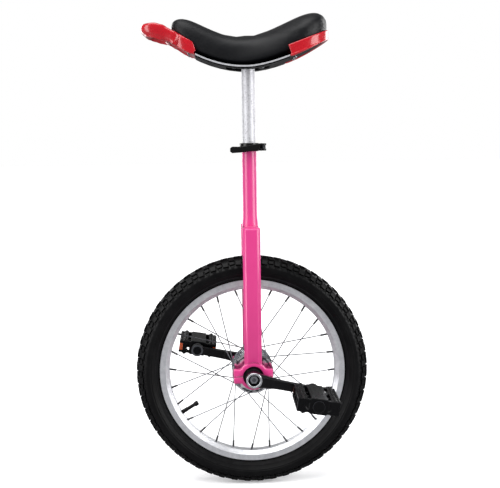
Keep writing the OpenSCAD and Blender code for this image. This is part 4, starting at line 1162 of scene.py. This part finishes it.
pedal = {
    "tilt": 9, "half": 39, "halfHigh": 14.5, "start": 5, "end": 97, "studs": 9,
    "studSize": 3.3, "studTall": 3.6, "lensHigh": 7.2, "lensFace": 34.6, "lensBack": 31.7, "lensEnd": 40,
    "tabFace": 38.3, "tabEnd": 9.4,
    "voxel": 0.8 * mm, "passes": 2,
}


def makePedal(side):
    word = "left" if side < 0 else "right"
    eye = boxOf(word + "_pedal_spindle")[2]
    low, high = boxOf(word + "_pedal_body")[:2]
    outside = max(abs(low.y), abs(high.y)) / mm
    face = outside - pedal["end"]
    tilt = math.radians(pedal["tilt"])
    ct, st = math.cos(tilt), math.sin(tilt)

    def place(u, v, w):
        return Vector((eye.x + (u * ct + w * st) * mm, side * (face + v) * mm, eye.z + (w * ct - u * st) * mm))

    body = copyOf(word + "_pedal_body", word + "_moulded_pedal")
    half, high, end, start = pedal["half"], pedal["halfHigh"], pedal["end"], pedal["start"]
    extras = []
    pitch = (end - start) / pedal["studs"]
    for m in (-1, 1):
        for f in (-1, 1):
            def flip(x, y, z):
                return place(m * x, y, f * z)
            for k in range(pedal["studs"]):
                v = start + pitch * (k + 0.5)
                extras.append(dome(27, v, high - 1.2, pedal["studSize"], pedal["studTall"], flip))
                if k:
                    extras.append(dome(35, v - pitch / 2, high - 2.4, pedal["studSize"] * 0.75,
                                       pedal["studTall"] * 0.8, flip))
            # two low ribs along the tread plate
            extras.append(block((8.6, start + 6, high - 1.5), (11.2, end - 6, high + 0.2), flip))
        for v0, v1 in ((9.8, 12.4), (40, 43), (66, 69)):
            extras.append(block((m * 31, v0, -8), (m * (half - 0.3), v1, 8), place))
        # the outer end plate is closed behind its face
        extras.append(block((m * 14, end - 4.6, -10), (m * 33, end - 1.6, 10), place))
    piece = moulded(joined([body] + extras), pedal["voxel"], pedal["passes"])
    piece.name = word + "_moulded_pedal"
    print("pedal faces:", len(piece.data.polygons))
    finishPiece(piece, word + "_pedal", "pedal_resin", [word + "_pedal_body"], 180)

    lenses = []
    for m in (-1, 1):
        lens, back, deep = pedal["lensFace"], pedal["lensBack"], pedal["lensHigh"]
        outline = [(back, -deep), (lens - 1, -deep)]
        ridges = 7
        for k in range(ridges):
            z = -deep + 2 * deep * (k + 0.5) / ridges
            outline += [(lens - 0.6, z - deep / ridges * 0.9), (lens, z)]
        outline += [(lens - 1, deep), (back, deep)]
        lenses.append(prism([(m * u, w) for u, w in outline], start + 0.8, pedal["lensEnd"], place))
        front = pedal["tabFace"]
        tab = [(back, -deep), (front - 0.8, -deep), (front, 0.8 - deep), (front, deep - 0.8),
               (front - 0.8, deep), (back, deep)]
        lenses.append(prism([(m * u, w) for u, w in tab], start + 0.6, pedal["tabEnd"], place))
    piece = joined(lenses)
    piece.name = word + "_amber_lenses"
    finishPiece(piece, word + "_pedal", "reflector_amber", [word + "_pedal_reflectors"], 25)


for side in (-1, 1):
    makePedal(side)
print("pedals made")

# Clamp lever: a cast arm with soft edges, thumbed to a rounded tip

lever = {"tipHalf": (3.2, 5.2), "rootHalf": (3.4, 6.2), "tipIn": 5, "rootIn": 17, "voxel": 0.6 * mm,
         "passes": 4}


def makeLever():
    low, high = boxOf("clamp_lever")[:2]
    body = copyOf("clamp_lever", "cast_clamp_lever")
    steps = 14
    x0, x1 = low.x / mm + lever["tipIn"], high.x / mm - lever["rootIn"]
    z0, z1 = low.z / mm + 6.4, (low.z + high.z) / 2 / mm
    path, sections = [], []
    for i in range(steps + 1):
        t = i / steps
        y = low.y / mm + 3.6 + 0.6 * t
        path.append((x0 + (x1 - x0) * t, y, z0 + (z1 - z0) * ease(t)))
        close = 1 - 0.45 * (1 - ease(t / 0.12))
        thick, tall = [(a + (b - a) * t) * close for a, b in zip(lever["tipHalf"], lever["rootHalf"])]
        sections.append((thick, tall, 2.3, 0))
    arm = sweep("arm", path, sections, 20)
    piece = moulded(joined([body, arm]), lever["voxel"], lever["passes"])
    piece.name = "cast_clamp_lever"
    return finishPiece(piece, "lever", "clamp_black", ["clamp_lever"], 180)


makeLever()

# Valve cap: ridged, and narrower at both ends

valve = {"capRadius": 4.9, "ridges": 12, "ridgeDeep": 0.45, "around": 48}


def span(name, way, origin):
    # how far a node reaches along a direction, in mm
    node = nodes[name]
    reach = [(node.matrix_world @ v.co - origin).dot(way) / mm for v in node.data.vertices]
    return min(reach), max(reach)


def makeValve():
    origin = Vector((0, 0, axleHeight))
    way = boxOf("valve_cap")[2] - origin
    way.y = 0
    way.normalize()
    aside = Vector((way.z, 0, -way.x))

    def place(along, a, radius):
        across = Vector((0, 1, 0))
        return origin + (way * along + aside * radius * math.cos(a) + across * radius * math.sin(a)) * mm

    capIn, capOut = span("valve_cap", way, origin)
    levels = [(capIn, 0.55), (capIn + 0.6, 0.86), (capIn + 2, 1.0), (capOut - 1.2, 1.0), (capOut, 0.9)]
    corners = []
    for spot, wide in levels:
        for a in turns(valve["around"]):
            ridge = valve["ridgeDeep"] * (0.5 + 0.5 * math.cos(a * valve["ridges"])) if wide == 1.0 else 0
            corners.append(place(spot, a, valve["capRadius"] * wide - ridge))
    cap = scratch("ridged_valve_cap", corners, ringFaces(len(levels), valve["around"]))
    finishPiece(cap, "wheel", "butyl_rubber", ["valve_cap"], 50)


makeValve()
print("lever and valve made")

# floor

floorValues = {"size": 60, "pale": "#F4F4F5", "shade": "#F1F1F2", "unseen": "#858587", "glow": "#8C8C8D",
               "cloudSize": 0.4, "drop": 0.5 * mm}
worldValues = {"white": "#FFFFFF", "unseenStrength": 0.22}


def makeFloor():
    # pale to the camera, and darker to what it lights, so that it doesn't wash out black parts
    material, tree, place = startMaterial("pale_studio_floor")
    cloud = add(tree, "TexNoise", {"Scale": 1 / floorValues["cloudSize"], "Detail": 3},
                {0: (place, "Object")})
    tone = add(tree, "Mix", {"data_type": "RGBA", 6: floorValues["shade"], 7: floorValues["pale"]},
               {0: (cloud, 0)})
    seen = add(tree, "LightPath")
    lit = add(tree, "Mix", {"data_type": "RGBA", 6: floorValues["unseen"]},
              {0: (seen, "Is Camera Ray"), 7: (tone, 2)})
    glow = add(tree, "Mix", {"data_type": "RGBA", 6: "#000000", 7: floorValues["glow"]},
               {0: (seen, "Is Camera Ray")})
    shader = add(tree, "BsdfPrincipled", {"Roughness": 1, "Specular IOR Level": 0, "Emission Strength": 1},
                 {"Base Color": (lit, 2), "Emission Color": (glow, 2)})
    add(tree, "OutputMaterial", links={"Surface": (shader, 0)})
    half = floorValues["size"] / 2
    mesh = bpy.data.meshes.new("floor")
    corners = [(-half, -half, 0), (half, -half, 0), (half, half, 0), (-half, half, 0)]
    mesh.from_pydata(corners, [], [(0, 1, 2, 3)])
    mesh.materials.append(material)
    floor = bpy.data.objects.new("floor", mesh)
    scene.collection.objects.link(floor)
    floor.location.z = cadLow.z - floorValues["drop"]


makeFloor()
world = bpy.data.worlds.new("studio")
scene.world = world
world.use_nodes = True
worldTree = world.node_tree
worldTree.nodes.clear()
seen = add(worldTree, "LightPath")
strength = add(worldTree, "MapRange", {"To Min": worldValues["unseenStrength"], "To Max": 1.0},
               {"Value": (seen, "Is Camera Ray")})
glow = add(worldTree, "Background", {"Color": worldValues["white"]}, {"Strength": (strength, 0)})
add(worldTree, "OutputWorld", links={"Surface": (glow, 0)})
